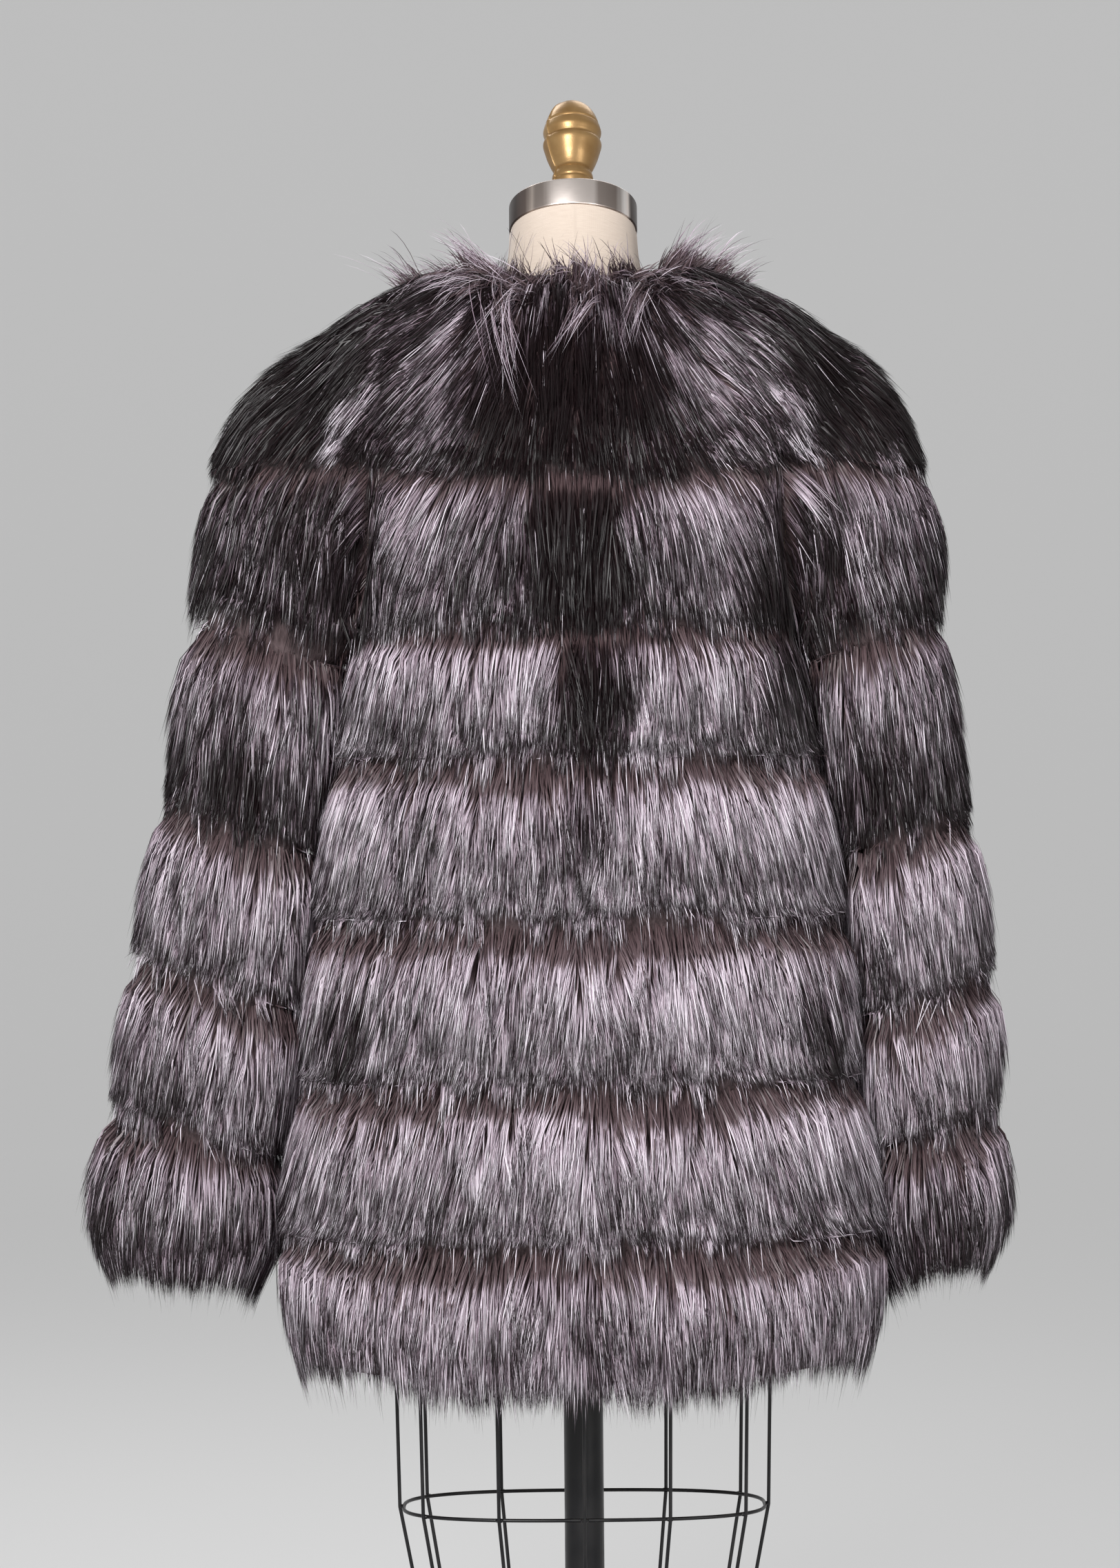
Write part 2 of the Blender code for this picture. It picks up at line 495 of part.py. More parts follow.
def sleeve_grids(which):
    """Outer and inner points of a sleeve: rows down the arm, columns round it.

    Columns run from the back edge of the armhole round the outside to its front edge.  Cap rows
    end on those edges.  Below the underarm the first and last columns are one line.
    """
    side = SIDES[which]
    back_skin, front_skin, back_fur, front_fur = armhole_loop(side)
    cap = np.array(CAPS[which])
    sections = SLEEVES[which]
    lower = sleeve_rows()
    cap_count = len(back_skin)
    turn = np.linspace(0.0, 1.0, SLEEVE_COLUMNS + 1)
    near_start = 1.0 - smoothstep(0.0, 0.5, turn)
    near_end = near_start[::-1]

    inner, reach, lifts = [], [], []
    for k in range(cap_count):
        share = (STATIONS[TIP_ROW + k] - TIP_STATION) / (UNDERARM_STATION - TIP_STATION)
        x_outer = np.interp(share, cap[:, 0], cap[:, 1])
        z_outer = np.interp(share, cap[:, 0], cap[:, 2])
        ring = read_sections(sections, 0.0)
        edge_x = 0.5 * abs(back_skin[k, 0] + front_skin[k, 0])
        edge_depth = 0.5 * (front_skin[k, 1] - back_skin[k, 1])
        edge_middle = 0.5 * (front_skin[k, 1] + back_skin[k, 1])
        half_depth = max(edge_depth, ring[5] * smoothstep(CAP_ROUND_START, CAP_ROUND_END, share))
        start = math.asin(min(1.0, edge_depth / max(half_depth, 1e-6)))
        angle = start + (2 * math.pi - 2 * start) * turn
        half_width = (x_outer - edge_x) / (1.0 + math.cos(start))
        x_centre = x_outer - half_width
        row = np.zeros((len(turn), 3))
        row[:, 0] = side * (x_centre - half_width * np.cos(angle))
        row[:, 1] = edge_middle - half_depth * np.sin(angle)
        outwards = (1.0 - np.cos(angle)) * 0.5
        edge_z = back_skin[k, 2] + (front_skin[k, 2] - back_skin[k, 2]) * turn
        rise = smoothstep(outwards[0] - 1e-9, 1.0, outwards)
        row[:, 2] = edge_z + (z_outer - edge_z) * rise
        row += near_start[:, None] * (back_skin[k] - row[0])
        row += near_end[:, None] * (front_skin[k] - row[-1])
        inner.append(row)
        reach.append(ring[7] + (ring[6] - ring[7]) * (0.5 + 0.5 * np.cos(angle)))
        lifts.append(LIFTS[TIP_ROW + k])
    shares = list(SHARES[TIP_ROW:UNDERARM_ROW + 1])
    shares[-1] = 1.0
    lifts[-1] = 0.0

    angle = 2 * math.pi * turn
    for station, share, lift in lower:
        z_outer, z_inner, x_inner, x_outer, y_centre, half_depth, pile_in, pile_out = (
            read_sections(sections, station))
        outwards = (1.0 - np.cos(angle)) * 0.5
        row = np.stack([side * (x_inner + (x_outer - x_inner) * outwards),
                        y_centre - half_depth * np.sin(angle),
                        z_inner + (z_outer - z_inner) * outwards], axis=-1)
        inner.append(row)
        narrowing = 1.0 + min(station / 2.0, 1.0)
        reach.append(pile_out + (pile_in - pile_out) * (0.5 + 0.5 * np.cos(angle)) ** narrowing)
        shares.append(share)
        lifts.append(lift)
    inner, reach = np.array(inner), np.array(reach)
    shares, lifts = np.array(shares), np.array(lifts)

    onward = np.gradient(inner, axis=1)
    wrapped = inner[:, 1] - inner[:, -2]
    onward[cap_count - 1:, 0] = onward[cap_count - 1:, -1] = wrapped[cap_count - 1:]
    down = np.gradient(inner, axis=0)
    normal = unit(np.cross(down, onward)) * side
    normal[0] = normal[1]
    outer = inner + (reach * shares[:, None])[..., None] * normal
    outer[..., 2] += lifts[:, None] * np.minimum(1.0, reach / FULL_LIFT_PILE)
    for k in range(1, cap_count):
        from_start, from_end = edge_weights(inner[k])
        outer[k] += from_start[:, None] * (back_fur[k] - outer[k, 0])
        outer[k] += from_end[:, None] * (front_fur[k] - outer[k, -1])
    outer[0], inner[0] = back_fur[0], back_skin[0]
    return outer, inner, cap_count


def add_sleeve(name, which):
    """A sleeve: an open cap above the underarm and a tube below it."""
    outer, inner, cap_count = sleeve_grids(which)
    rows, columns = outer.shape[:2]
    ids = np.arange(rows * columns).reshape(rows, columns)
    ids[0] = ids[0, 0]
    ids[cap_count - 1:, -1] = ids[cap_count - 1:, 0]
    count = rows * columns
    forwards = SIDES[which] > 0
    faces = []
    for k in range(rows - 1):
        faces += strip(ids[k], ids[k + 1])
        faces += [face[::-1] for face in strip(ids[k] + count, ids[k + 1] + count)]
    faces += strip(ids[-1], ids[-1] + count)
    start = ids[:cap_count, 0]
    end = ids[:cap_count, -1]
    faces += [face[::-1] for face in strip(start + count, start)] + strip(end + count, end)
    faces = [face for face in faces if len(set(face)) == 3]
    if not forwards:
        faces = [face[::-1] for face in faces]
    points = np.concatenate([outer.reshape(-1, 3), inner.reshape(-1, 3)])
    used = sorted({number for face in faces for number in face})
    place = {number: k for k, number in enumerate(used)}
    faces = [tuple(place[number] for number in face) for face in faces]
    add_object(name, points[used], faces, "fox_fur")


# ------------------------------------------------------------------ the dress form
def capped_rings(rings):
    """Points and faces of a solid through closed rings from top to bottom, with flat ends."""
    count, columns = rings.shape[:2]
    points = np.concatenate([rings.reshape(-1, 3), [rings[0].mean(axis=0)],
                             [rings[-1].mean(axis=0)]])
    ids = np.arange(count * columns).reshape(count, columns)
    ids = np.concatenate([ids, ids[:, :1]], axis=1)
    faces = []
    for k in range(count - 1):
        faces += strip(ids[k], ids[k + 1])
    top, bottom = len(points) - 2, len(points) - 1
    for j in range(columns):
        faces.append((top, ids[0, j], ids[0, j + 1]))
        faces.append((bottom, ids[-1, j + 1], ids[-1, j]))
    return points, faces


def add_torso():
    """Neck, shoulders, bust, waist and hips in one smooth closed body."""
    columns = 4 * COLUMNS_PER_QUARTER
    angles = np.linspace(-math.pi, math.pi, columns, endpoint=False)
    stations, angles = np.meshgrid(np.array(FORM_STATIONS, dtype=float), angles, indexing="ij")
    points, faces = capped_rings(form_surface(stations, angles))
    add_object("form_torso", points, faces, "linen")


def add_turned(name, profile, finish, origin, axis_tilt, segments):
    """A profile of (along, radius) turned about an axis that leans towards +Y."""
    turn = np.linspace(-math.pi, math.pi, segments, endpoint=False)
    rings = []
    for along, radius in reversed(profile):
        rings.append(np.stack([radius * np.sin(turn), -radius * np.cos(turn),
                               np.full(segments, along)], axis=-1))
    rings = np.array(rings)
    cosine, sine = math.cos(axis_tilt), math.sin(axis_tilt)
    leaning = rings.copy()
    leaning[..., 1] = rings[..., 1] * cosine + rings[..., 2] * sine
    leaning[..., 2] = -rings[..., 1] * sine + rings[..., 2] * cosine
    points, faces = capped_rings(leaning + np.array(origin))
    add_object(name, points, faces, finish, sharp_degrees=35)


def add_neck_plate_and_finial():
    """The steel plate on the neck's sloping top and the turned finial that stands on it."""
    lean = np.array([0.0, math.sin(PLATE_TILT), math.cos(PLATE_TILT)])
    seat = np.array([0.0, 0.0, NECK_TOP_HEIGHT]) + SEAM_GAP * lean
    narrow = PLATE_RADIUS - PLATE_RIM
    plate = [(0.0, narrow), (PLATE_RIM, PLATE_RADIUS),
             (PLATE_THICKNESS - PLATE_RIM, PLATE_RADIUS), (PLATE_THICKNESS, narrow)]
    add_turned("neck_plate", plate, "brushed_steel", seat, PLATE_TILT, DISC_SIDES)
    finial_seat = seat + (PLATE_THICKNESS + SEAM_GAP) * lean
    add_turned("finial", FINIAL_PROFILE, "gold_paint", finial_seat, PLATE_TILT, ROD_SIDES)


def add_pole_and_base():
    """A round base that stands on the floor, and the pole between its hub and the torso."""
    add_turned("base", BASE_PROFILE, "black_enamel", (0, 0, 0), 0.0, DISC_SIDES)
    length = TORSO_BASE_HEIGHT - HUB_HEIGHT - 2 * SEAM_GAP
    pole = [(0.0, POLE_RADIUS), (length, POLE_RADIUS)]
    add_turned("pole", pole, "black_enamel", (0, 0, HUB_HEIGHT + SEAM_GAP), 0.0, ROD_SIDES)


def tube(path, radius, sides, closed=False):
    """Rings of points round a path that stays near level or near upright."""
    if closed:
        along = unit(np.roll(path, -1, axis=0) - np.roll(path, 1, axis=0))
        up = np.array([0.0, 0.0, 1.0])
    else:
        along = unit(np.gradient(path, axis=0))
        up = np.array([1.0, 0.0, 0.0])
    across = unit(np.cross(along, up))
    rise = np.cross(across, along)
    turn = np.linspace(0.0, 2 * math.pi, sides, endpoint=False)
    return (path[:, None, :] + radius * (np.cos(turn)[None, :, None] * across[:, None, :]
                                         + np.sin(turn)[None, :, None] * rise[:, None, :]))


def cage_outline(angle, scale_x, scale_y):
    """A rounded oblong round the pole; angle 0 is centre back."""
    sine, cosine = np.sin(angle), np.cos(angle)
    return np.stack([scale_x * np.sign(sine) * np.abs(sine) ** CAGE_SQUARENESS,
                     -scale_y * np.sign(cosine) * np.abs(cosine) ** CAGE_SQUARENESS], axis=-1)


def ring_size(height):
    """Half width and half depth of the line on which the rings lie, at a height."""
    heights = (LOWER_RING_HEIGHT, UPPER_RING_HEIGHT, CAGE_BEND_HEIGHT, TORSO_BASE_HEIGHT)
    half_width = np.interp(height, heights, CAGE_HALF_WIDTHS)
    return half_width, half_width * CAGE_DEPTH_SHARE


def add_cage():
    """Two level wire rings, and the upright wires that pass just outside them."""
    turn = np.linspace(-math.pi, math.pi, RING_CORNERS, endpoint=False)
    for name, height in (("cage_ring_upper", UPPER_RING_HEIGHT),
                         ("cage_ring_lower", LOWER_RING_HEIGHT)):
        outline = cage_outline(turn, *ring_size(height))
        path = np.column_stack([outline, np.full(len(turn), height)])
        rings = tube(path, WIRE_RADIUS, WIRE_SIDES, closed=True)
        count, sides = rings.shape[:2]
        ids = np.arange(count * sides).reshape(count, sides)
        ids = np.concatenate([ids, ids[:, :1]], axis=1)
        ids = np.concatenate([ids, ids[:1]], axis=0)
        faces = []
        for k in range(count):
            faces += strip(ids[k], ids[k + 1])
        add_object(name, rings.reshape(-1, 3), faces, "black_enamel")
    heights = np.array([TORSO_BASE_HEIGHT - SEAM_GAP, CAGE_BEND_HEIGHT, UPPER_RING_HEIGHT,
                        LOWER_RING_HEIGHT, LOWER_RING_HEIGHT - WIRE_TAIL])
    clear = 2 * WIRE_RADIUS + SEAM_GAP
    for number, degrees in enumerate(WIRE_ANGLES, start=1):
        angle = np.full(len(heights), math.radians(degrees))
        half_width, half_depth = ring_size(heights)
        line = cage_outline(angle, half_width, half_depth)
        ahead = cage_outline(angle + 0.02, half_width, half_depth)
        behind = cage_outline(angle - 0.02, half_width, half_depth)
        way = unit(ahead - behind)
        outward = np.stack([way[:, 1], -way[:, 0]], axis=-1)
        path = np.column_stack([line + clear * outward, heights])
        points, faces = capped_rings(tube(path, WIRE_RADIUS, WIRE_SIDES))
        add_object(f"cage_wire_{number:02d}", points, faces, "black_enamel")


def build():
    for old in list(bpy.data.objects):
        bpy.data.objects.remove(old, do_unlink=True)
    add_panel("coat_back", "back")
    add_panel("coat_front_left", "front_left")
    add_panel("coat_front_right", "front_right")
    add_sleeve("sleeve_left", "left")
    add_sleeve("sleeve_right", "right")
    add_torso()
    add_neck_plate_and_finial()
    add_pole_and_base()
    add_cage()


build()
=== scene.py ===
"""Looks of a tiered silver fox coat on a limbless dress form.

Every pelt piece is a closed leather wall with dense underfur outside, and the guard hair grows
on it as ribbons.  The hair is laid by tier: a mark counts tiers down from the neck, a column
counts round the piece, and a depth goes from the leather (0) to the reach of the fur (1).

Metres, +Z up.  The coat's back faces -Y, and +X is the wearer's right.
"""

import math
from collections import namedtuple

import bpy
import numpy as np
from mathutils.bvhtree import BVHTree
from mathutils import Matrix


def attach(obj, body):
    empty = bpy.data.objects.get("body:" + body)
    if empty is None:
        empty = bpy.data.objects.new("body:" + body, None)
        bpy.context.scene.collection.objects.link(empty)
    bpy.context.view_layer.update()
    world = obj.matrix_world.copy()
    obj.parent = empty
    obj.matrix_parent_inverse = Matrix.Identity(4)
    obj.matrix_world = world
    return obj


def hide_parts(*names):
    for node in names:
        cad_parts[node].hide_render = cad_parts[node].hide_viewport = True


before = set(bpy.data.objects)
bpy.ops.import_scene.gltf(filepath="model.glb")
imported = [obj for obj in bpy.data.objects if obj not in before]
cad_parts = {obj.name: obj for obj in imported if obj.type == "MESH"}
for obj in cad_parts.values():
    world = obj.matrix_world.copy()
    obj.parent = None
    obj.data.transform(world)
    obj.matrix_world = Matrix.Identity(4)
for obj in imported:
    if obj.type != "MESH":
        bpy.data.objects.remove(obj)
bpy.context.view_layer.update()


# ------------------------------------------------------------------ camera and stage
CAMERA_HEIGHT = 0.990
CAMERA_DISTANCE = 4.5
CAMERA_SIDE = -0.0157
CAMERA_ROLL = math.radians(0.5)
CAMERA_LENS = 118.25
SENSOR_HEIGHT = 36.0


# ------------------------------------------------------------------ driving dimensions
SEAM_GAP = 0.0003             # between two pieces that meet at a seam
REST_CLEARANCE = 0.0006       # between the form's shoulders and the skin that rests on them
COLUMNS_PER_QUARTER = 8       # faces round a quarter of the body
SLEEVE_COLUMNS = 18           # faces round a sleeve

PLATE_TILT = math.radians(21.0)  # the neck plate slopes down to the front
PLATE_RADIUS = 0.0560
PLATE_THICKNESS = 0.0245
PLATE_RIM = 0.0012            # the plate's bevelled edges
NECK_TOP_HEIGHT = 1.4713      # centre of the neck's sloping top face
NECK_RADIUS = 0.0545

POLE_RADIUS = 0.0172
TORSO_BASE_HEIGHT = 0.7300
BASE_RADIUS = 0.2150
HUB_HEIGHT = 0.0700

WIRE_RADIUS = 0.0016
UPPER_RING_HEIGHT = 0.3600
LOWER_RING_HEIGHT = 0.2350
CAGE_BEND_HEIGHT = 0.4600     # below it the wires draw in towards the rings
WIRE_TAIL = 0.0040            # how far the wires run on below the lower ring
# Half width of the cage's outline at the lower ring, upper ring, bend and torso.
CAGE_HALF_WIDTHS = (0.1335, 0.1575, 0.1595, 0.1600)
CAGE_DEPTH_SHARE = 0.603      # half depth of that outline over its half width
CAGE_SQUARENESS = 0.72
WIRE_ANGLES = (0, 20, 55, 90, 125, 160, 180, 200, 235, 270, 305, 340)  # degrees from centre back

# Heights of the seams between the body's tiers, from the yoke's lower edge down.
BODY_SEAMS = (1.256, 1.124, 1.010, 0.872, 0.733, 0.599)
BODY_SKIN_HEM = 0.502
BODY_FUR_HEM = 0.461


# ------------------------------------------------------------------ sections of the form
# Heights at the back, sides and front, half width, depths behind and before the axis, and
# squareness: 1 is an ellipse, less is boxier.
SLOPE = NECK_RADIUS * math.sin(PLATE_TILT)
FLAT = NECK_RADIUS * math.cos(PLATE_TILT)
FORM_SECTIONS = [
    (NECK_TOP_HEIGHT + SLOPE, NECK_TOP_HEIGHT, NECK_TOP_HEIGHT - SLOPE,
     NECK_RADIUS, FLAT, FLAT, 1.00),  # 0 neck top, under the plate
    (1.456, 1.442, 1.420, 0.0575, 0.0560, 0.0550, 1.00),  # 1 neck
    (1.420, 1.416, 1.382, 0.0680, 0.0700, 0.0660, 0.98),  # 2 neck base
    (1.398, 1.402, 1.352, 0.1120, 0.0950, 0.0820, 0.95),  # 3
    (1.364, 1.386, 1.322, 0.1520, 0.1140, 0.0950, 0.92),  # 4
    (1.320, 1.358, 1.290, 0.1860, 0.1240, 0.1080, 0.90),  # 5 shoulder point
    (1.270, 1.300, 1.250, 0.1860, 0.1260, 0.1220, 0.88),  # 6
    (1.205, 1.215, 1.200, 0.1680, 0.1220, 0.1340, 0.88),  # 7
    (1.140, 1.140, 1.140, 0.1520, 0.1140, 0.1340, 0.88),  # 8 bust
    (1.060, 1.060, 1.060, 0.1320, 0.0980, 0.1120, 0.90),  # 9
    (1.000, 1.000, 1.000, 0.1240, 0.0880, 0.0980, 0.92),  # 10 waist
    (0.920, 0.920, 0.920, 0.1460, 0.1060, 0.1040, 0.90),  # 11
    (0.830, 0.830, 0.830, 0.1720, 0.1220, 0.1080, 0.88),  # 12 hip
    (TORSO_BASE_HEIGHT, TORSO_BASE_HEIGHT, TORSO_BASE_HEIGHT,
     0.1760, 0.1220, 0.1080, 0.88),  # 13 torso base
]
SHOULDER_STATION = 5
FORM_STATIONS = (0, 0.5, 1, 1.5, 2, 2.3, 2.6, 3, 3.5, 4, 4.5, 5, 5.5, 6, 7, 8, 9, 9.5, 10, 10.5,
                 11, 12, 13)


# ------------------------------------------------------------------ sections of the coat's skin
# As above, and the reach of the fur at the back, sides and front.  Above the shoulder point the
# skin is the form's own surface, so those rows repeat the form's and only the reach counts.
COAT_SECTIONS = [
    (*FORM_SECTIONS[0], 0.010, 0.036, 0.030),
    (*FORM_SECTIONS[1], 0.010, 0.036, 0.030),
    (*FORM_SECTIONS[2], 0.010, 0.036, 0.030),
    (*FORM_SECTIONS[3], 0.037, 0.038, 0.036),
    (*FORM_SECTIONS[4], 0.038, 0.038, 0.037),
    (1.322, 1.356, 1.292, 0.205, 0.133, 0.114, 0.90, 0.038, 0.037, 0.038),  # 5
    (1.272, 1.292, 1.250, 0.206, 0.138, 0.132, 0.88, 0.038, 0.036, 0.038),  # 6
    (1.205, 1.205, 1.200, 0.192, 0.139, 0.142, 0.88, 0.038, 0.026, 0.038),  # 7
    (1.140, 1.140, 1.140, 0.183, 0.138, 0.143, 0.88, 0.038, 0.001, 0.038),  # 8
    (1.060, 1.060, 1.060, 0.186, 0.138, 0.139, 0.88, 0.038, 0.013, 0.038),  # 9
    (0.970, 0.970, 0.970, 0.194, 0.141, 0.137, 0.88, 0.039, 0.020, 0.038),  # 10
    (0.880, 0.880, 0.880, 0.203, 0.146, 0.139, 0.88, 0.039, 0.024, 0.038),  # 11
    (0.790, 0.790, 0.790, 0.211, 0.152, 0.143, 0.88, 0.040, 0.024, 0.039),  # 12
    (0.700, 0.700, 0.700, 0.218, 0.158, 0.148, 0.88, 0.040, 0.025, 0.039),  # 13
    (0.600, 0.603, 0.600, 0.225, 0.164, 0.153, 0.88, 0.042, 0.034, 0.041),  # 14
    (0.490, 0.500, 0.490, 0.228, 0.167, 0.156, 0.88, 0.042, 0.040, 0.041),  # 15
]
DRAPE_FULL_STATION = 6.2      # from here down the coat keeps its own sections
PILE_SIDE_START = math.sin(math.radians(42))  # where the reach starts to change to the side's
PILE_SIDE_END = math.sin(math.radians(80))
LEAST_PILE = 0.0022
FULL_LIFT_PILE = 0.020        # where the reach is less, a row's lift is less in proportion

# The yoke runs from the neck's edge over the shoulders.  Station, share of the reach, and how far
# the fur's edge stands above the skin's.
BodyRow = namedtuple("BodyRow", "station share lift")
YOKE_ROWS = [
    BodyRow(2.30, 0.50, 0.010), BodyRow(2.60, 0.82, 0.004), BodyRow(3.00, 1.00, 0.0),
    BodyRow(3.50, 1.00, 0.0), BodyRow(4.00, 1.00, 0.0), BodyRow(4.50, 1.00, 0.0),
    BodyRow(5.00, 1.00, 0.0), BodyRow(5.25, 1.00, 0.0), BodyRow(5.50, 1.00, 0.0),
    BodyRow(5.75, 1.00, 0.0), BodyRow(6.00, 0.99, 0.0),
]

# A tier from its upper seam down: share of its height, share of the reach, and lift.  The notch
# is tucked under the lip of the tier above.
TierRow = namedtuple("TierRow", "down share lift")
LEDGE = 0.0033
NOTCH = TierRow(0.03, 0.70, LEDGE)
SWELL = TierRow(0.14, 0.93, 0.0)
FULL = TierRow(0.36, 1.02, 0.0)
LIP = TierRow(0.97, 0.93, -LEDGE)
PLAIN_TIER = (NOTCH, SWELL, FULL, LIP)
ARMHOLE_TIER = (NOTCH, SWELL, FULL, TierRow(0.55, 1.01, 0.0), TierRow(0.71, 1.00, 0.0),
                TierRow(0.85, 0.99, 0.0), LIP)
END_TIER = (NOTCH, SWELL, TierRow(0.32, 1.03, 0.0), TierRow(0.52, 1.00, 0.0),
            TierRow(0.70, 0.88, 0.0), TierRow(0.86, 0.62, 0.0), TierRow(1.00, 0.24, 0.0))


# ------------------------------------------------------------------ armholes and sleeves
BACK_ARMHOLE_DIP = math.radians(31)  # how far each armhole's edge bows in from the side
FRONT_ARMHOLE_DIP = math.radians(34)
ARMHOLE_POWER = 0.75
ARMPIT_SPREAD = 0.020         # where the edge is this far from the underarm it turns half away
ARMPIT_LEAN = 0.22            # and leans out towards the arm by this much for each unit down
ARMPIT_PILE = 0.003
FOLD_START, FOLD_END = 0.45, 0.95  # shares of the armhole's depth between which it turns

# The sleeve's cap from the shoulder point down to the underarm: share of the armhole's depth,
# then the skin's outermost line, out from the centre plane and up.
CAPS = {
    "left": [
        (0.00, 0.205, 1.356), (0.10, 0.240, 1.332),
        (0.20, 0.266, 1.304), (0.385, 0.289, 1.2640),
        (0.70, 0.299, 1.198), (1.00, 0.305, 1.148),
    ],
    "right": [
        (0.00, 0.205, 1.356), (0.10, 0.238, 1.332),
        (0.20, 0.257, 1.304), (0.385, 0.275, 1.2620),
        (0.70, 0.290, 1.198), (1.00, 0.289, 1.144),
    ],
}
# Below the underarm: heights of the outer and inner side, places of the inner and outer side out
# from the centre plane, the middle's place along Y, half the depth, and the fur's reach inside
# and outside.
SLEEVES = {
    "left": [
        (1.148, 1.130, 0.1920, 0.305, 0.000, 0.064, 0.0070, 0.036),  # 0 underarm
        (1.128, 1.092, 0.2100, 0.308, 0.000, 0.062, 0.0090, 0.036),  # 1 tier 2 to 3
        (1.055, 1.015, 0.2290, 0.320, 0.000, 0.060, 0.0150, 0.036),  # 2
        (0.973, 0.928, 0.2440, 0.335, 0.002, 0.057, 0.0160, 0.036),  # 3 tier 3 to 4
        (0.8376, 0.795, 0.2590, 0.361, 0.005, 0.054, 0.0170, 0.038),  # 4 tier 4 to 5
        (0.711, 0.672, 0.2850, 0.378, 0.010, 0.050, 0.0190, 0.041),  # 5 tier 5 to 6
        (0.588, 0.584, 0.2960, 0.393, 0.014, 0.048, 0.0240, 0.046),  # 6 cuff's edge
    ],
    "right": [
        (1.144, 1.130, 0.1920, 0.289, 0.000, 0.064, 0.0070, 0.035),
        (1.130, 1.095, 0.2090, 0.291, 0.002, 0.062, 0.0090, 0.035),
        (1.045, 1.015, 0.2290, 0.302, 0.008, 0.060, 0.0145, 0.035),
        (0.955, 0.926, 0.2450, 0.317, 0.014, 0.058, 0.0155, 0.035),
        (0.8195, 0.784, 0.2560, 0.335, 0.022, 0.056, 0.0170, 0.036),
        (0.705, 0.668, 0.2680, 0.337, 0.030, 0.055, 0.0180, 0.038),
        (0.588, 0.584, 0.2800, 0.336, 0.036, 0.054, 0.0220, 0.042),
    ],
}
SLEEVE_SEAMS = (1, 3, 4, 5, 6)  # sleeve stations of the seams below the underarm
LAST_CAP_LIP = 0.07           # in stations, of the lip above the first of those seams
CUFF_FUR_DROP = 0.030         # the fur ends this far below the skin's edge
CAP_ROUND_START, CAP_ROUND_END = 0.3, 0.8  # shares of its depth where a cap grows to a tube
EDGE_BLEND = 0.045            # length along a cap's row over which it meets the armhole
SIDES = {"left": -1.0, "right": 1.0}


# ------------------------------------------------------------------ turned profiles
# Distance along the axis, radius.
FINIAL_PROFILE = [
    (0.0000, 0.0150), (0.0100, 0.0158), (0.0180, 0.0172), (0.0240, 0.0181), (0.0290, 0.0179),
    (0.0340, 0.0168), (0.0400, 0.0194), (0.0470, 0.0222), (0.0540, 0.0243), (0.0595, 0.0257),
    (0.0628, 0.0253), (0.0655, 0.0237), (0.0680, 0.0244), (0.0726, 0.0256), (0.0780, 0.0245),
    (0.0830, 0.0229), (0.0890, 0.0205), (0.0960, 0.0158), (0.1010, 0.0090), (0.1032, 0.0010),
]
BASE_PROFILE = [
    (0.0000, BASE_RADIUS - 0.0030), (0.0030, BASE_RADIUS), (0.0120, BASE_RADIUS),
    (0.0165, BASE_RADIUS - 0.0060), (0.0240, 0.1500), (0.0310, 0.0850), (0.0380, 0.0520),
    (0.0480, 0.0340), (HUB_HEIGHT - 0.0030, 0.0290), (HUB_HEIGHT, 0.0265),
]


# ------------------------------------------------------------------ small helpers
def smoothstep(low, high, value):
    """0 below low, 1 above high and a smooth rise between."""
    t = np.clip((value - low) / (high - low), 0.0, 1.0)
    return t * t * (3.0 - 2.0 * t)


def fall(low, high, value):
    """1 below low, 0 above high and a smooth fall between."""
    return 1.0 - smoothstep(low, high, value)


def unit(vectors):
    """The vectors over their own lengths."""
    return vectors / np.maximum(np.linalg.norm(vectors, axis=-1, keepdims=True), 1e-12)


def read_sections(table, stations):
    """Catmull-Rom reading of a table's rows at fractional station numbers."""
    rows = np.array(table, dtype=float)
    stations = np.asarray(stations, dtype=float)
    low = np.clip(np.floor(stations).astype(int), 0, len(rows) - 2)
    t = (stations - low)[..., None]
    before, here, after, beyond = (rows[np.clip(low + k, 0, len(rows) - 1)] for k in (-1, 0, 1, 2))
    return 0.5 * (2 * here + (after - before) * t
                  + (2 * before - 5 * here + 4 * after - beyond) * t ** 2
                  + (3 * here - before - 3 * after + beyond) * t ** 3)


# ------------------------------------------------------------------ the body's surface
def ring_point(section, angle):
    """A point round the body; angle 0 is centre back (-Y), a quarter turn is +X."""
    z_back, z_side, z_front, half_width, back, front, squareness = (
        section[..., k] for k in range(7))
    sine, cosine = np.sin(angle), np.cos(angle)
    x = half_width * np.sign(sine) * np.abs(sine) ** squareness
    y = np.where(cosine > 0, -back, front) * np.abs(cosine) ** squareness
    z = (z_side + 0.5 * (z_back - z_front) * cosine
         + (0.5 * (z_back + z_front) - z_side) * cosine ** 2)
    return np.stack([x, y, z], axis=-1)


def surface_normal(surface, station, angle, step=0.01):
    """Outward unit normal of surface(station, angle), from small steps both ways."""
    down = surface(station + step, angle) - surface(station - step, angle)
    onward = surface(station, angle + step) - surface(station, angle - step)
    return unit(np.cross(down, onward))


def form_surface(station, angle):
    """The form's ring at a station, read at an angle."""
    return ring_point(read_sections(FORM_SECTIONS, station), angle)


def coat_skin(station, angle):
    """The leather's surface: the form's own over the shoulders, then the coat's sections."""
    own = ring_point(read_sections(COAT_SECTIONS, station), angle)
    on_form = np.clip(station, 0, len(FORM_SECTIONS) - 1)
    form = form_surface(on_form, angle)
    form = form + REST_CLEARANCE * surface_normal(form_surface, on_form, angle)
    hang = smoothstep(SHOULDER_STATION - 1, DRAPE_FULL_STATION, station)[..., None]
    return form + hang * (own - form)


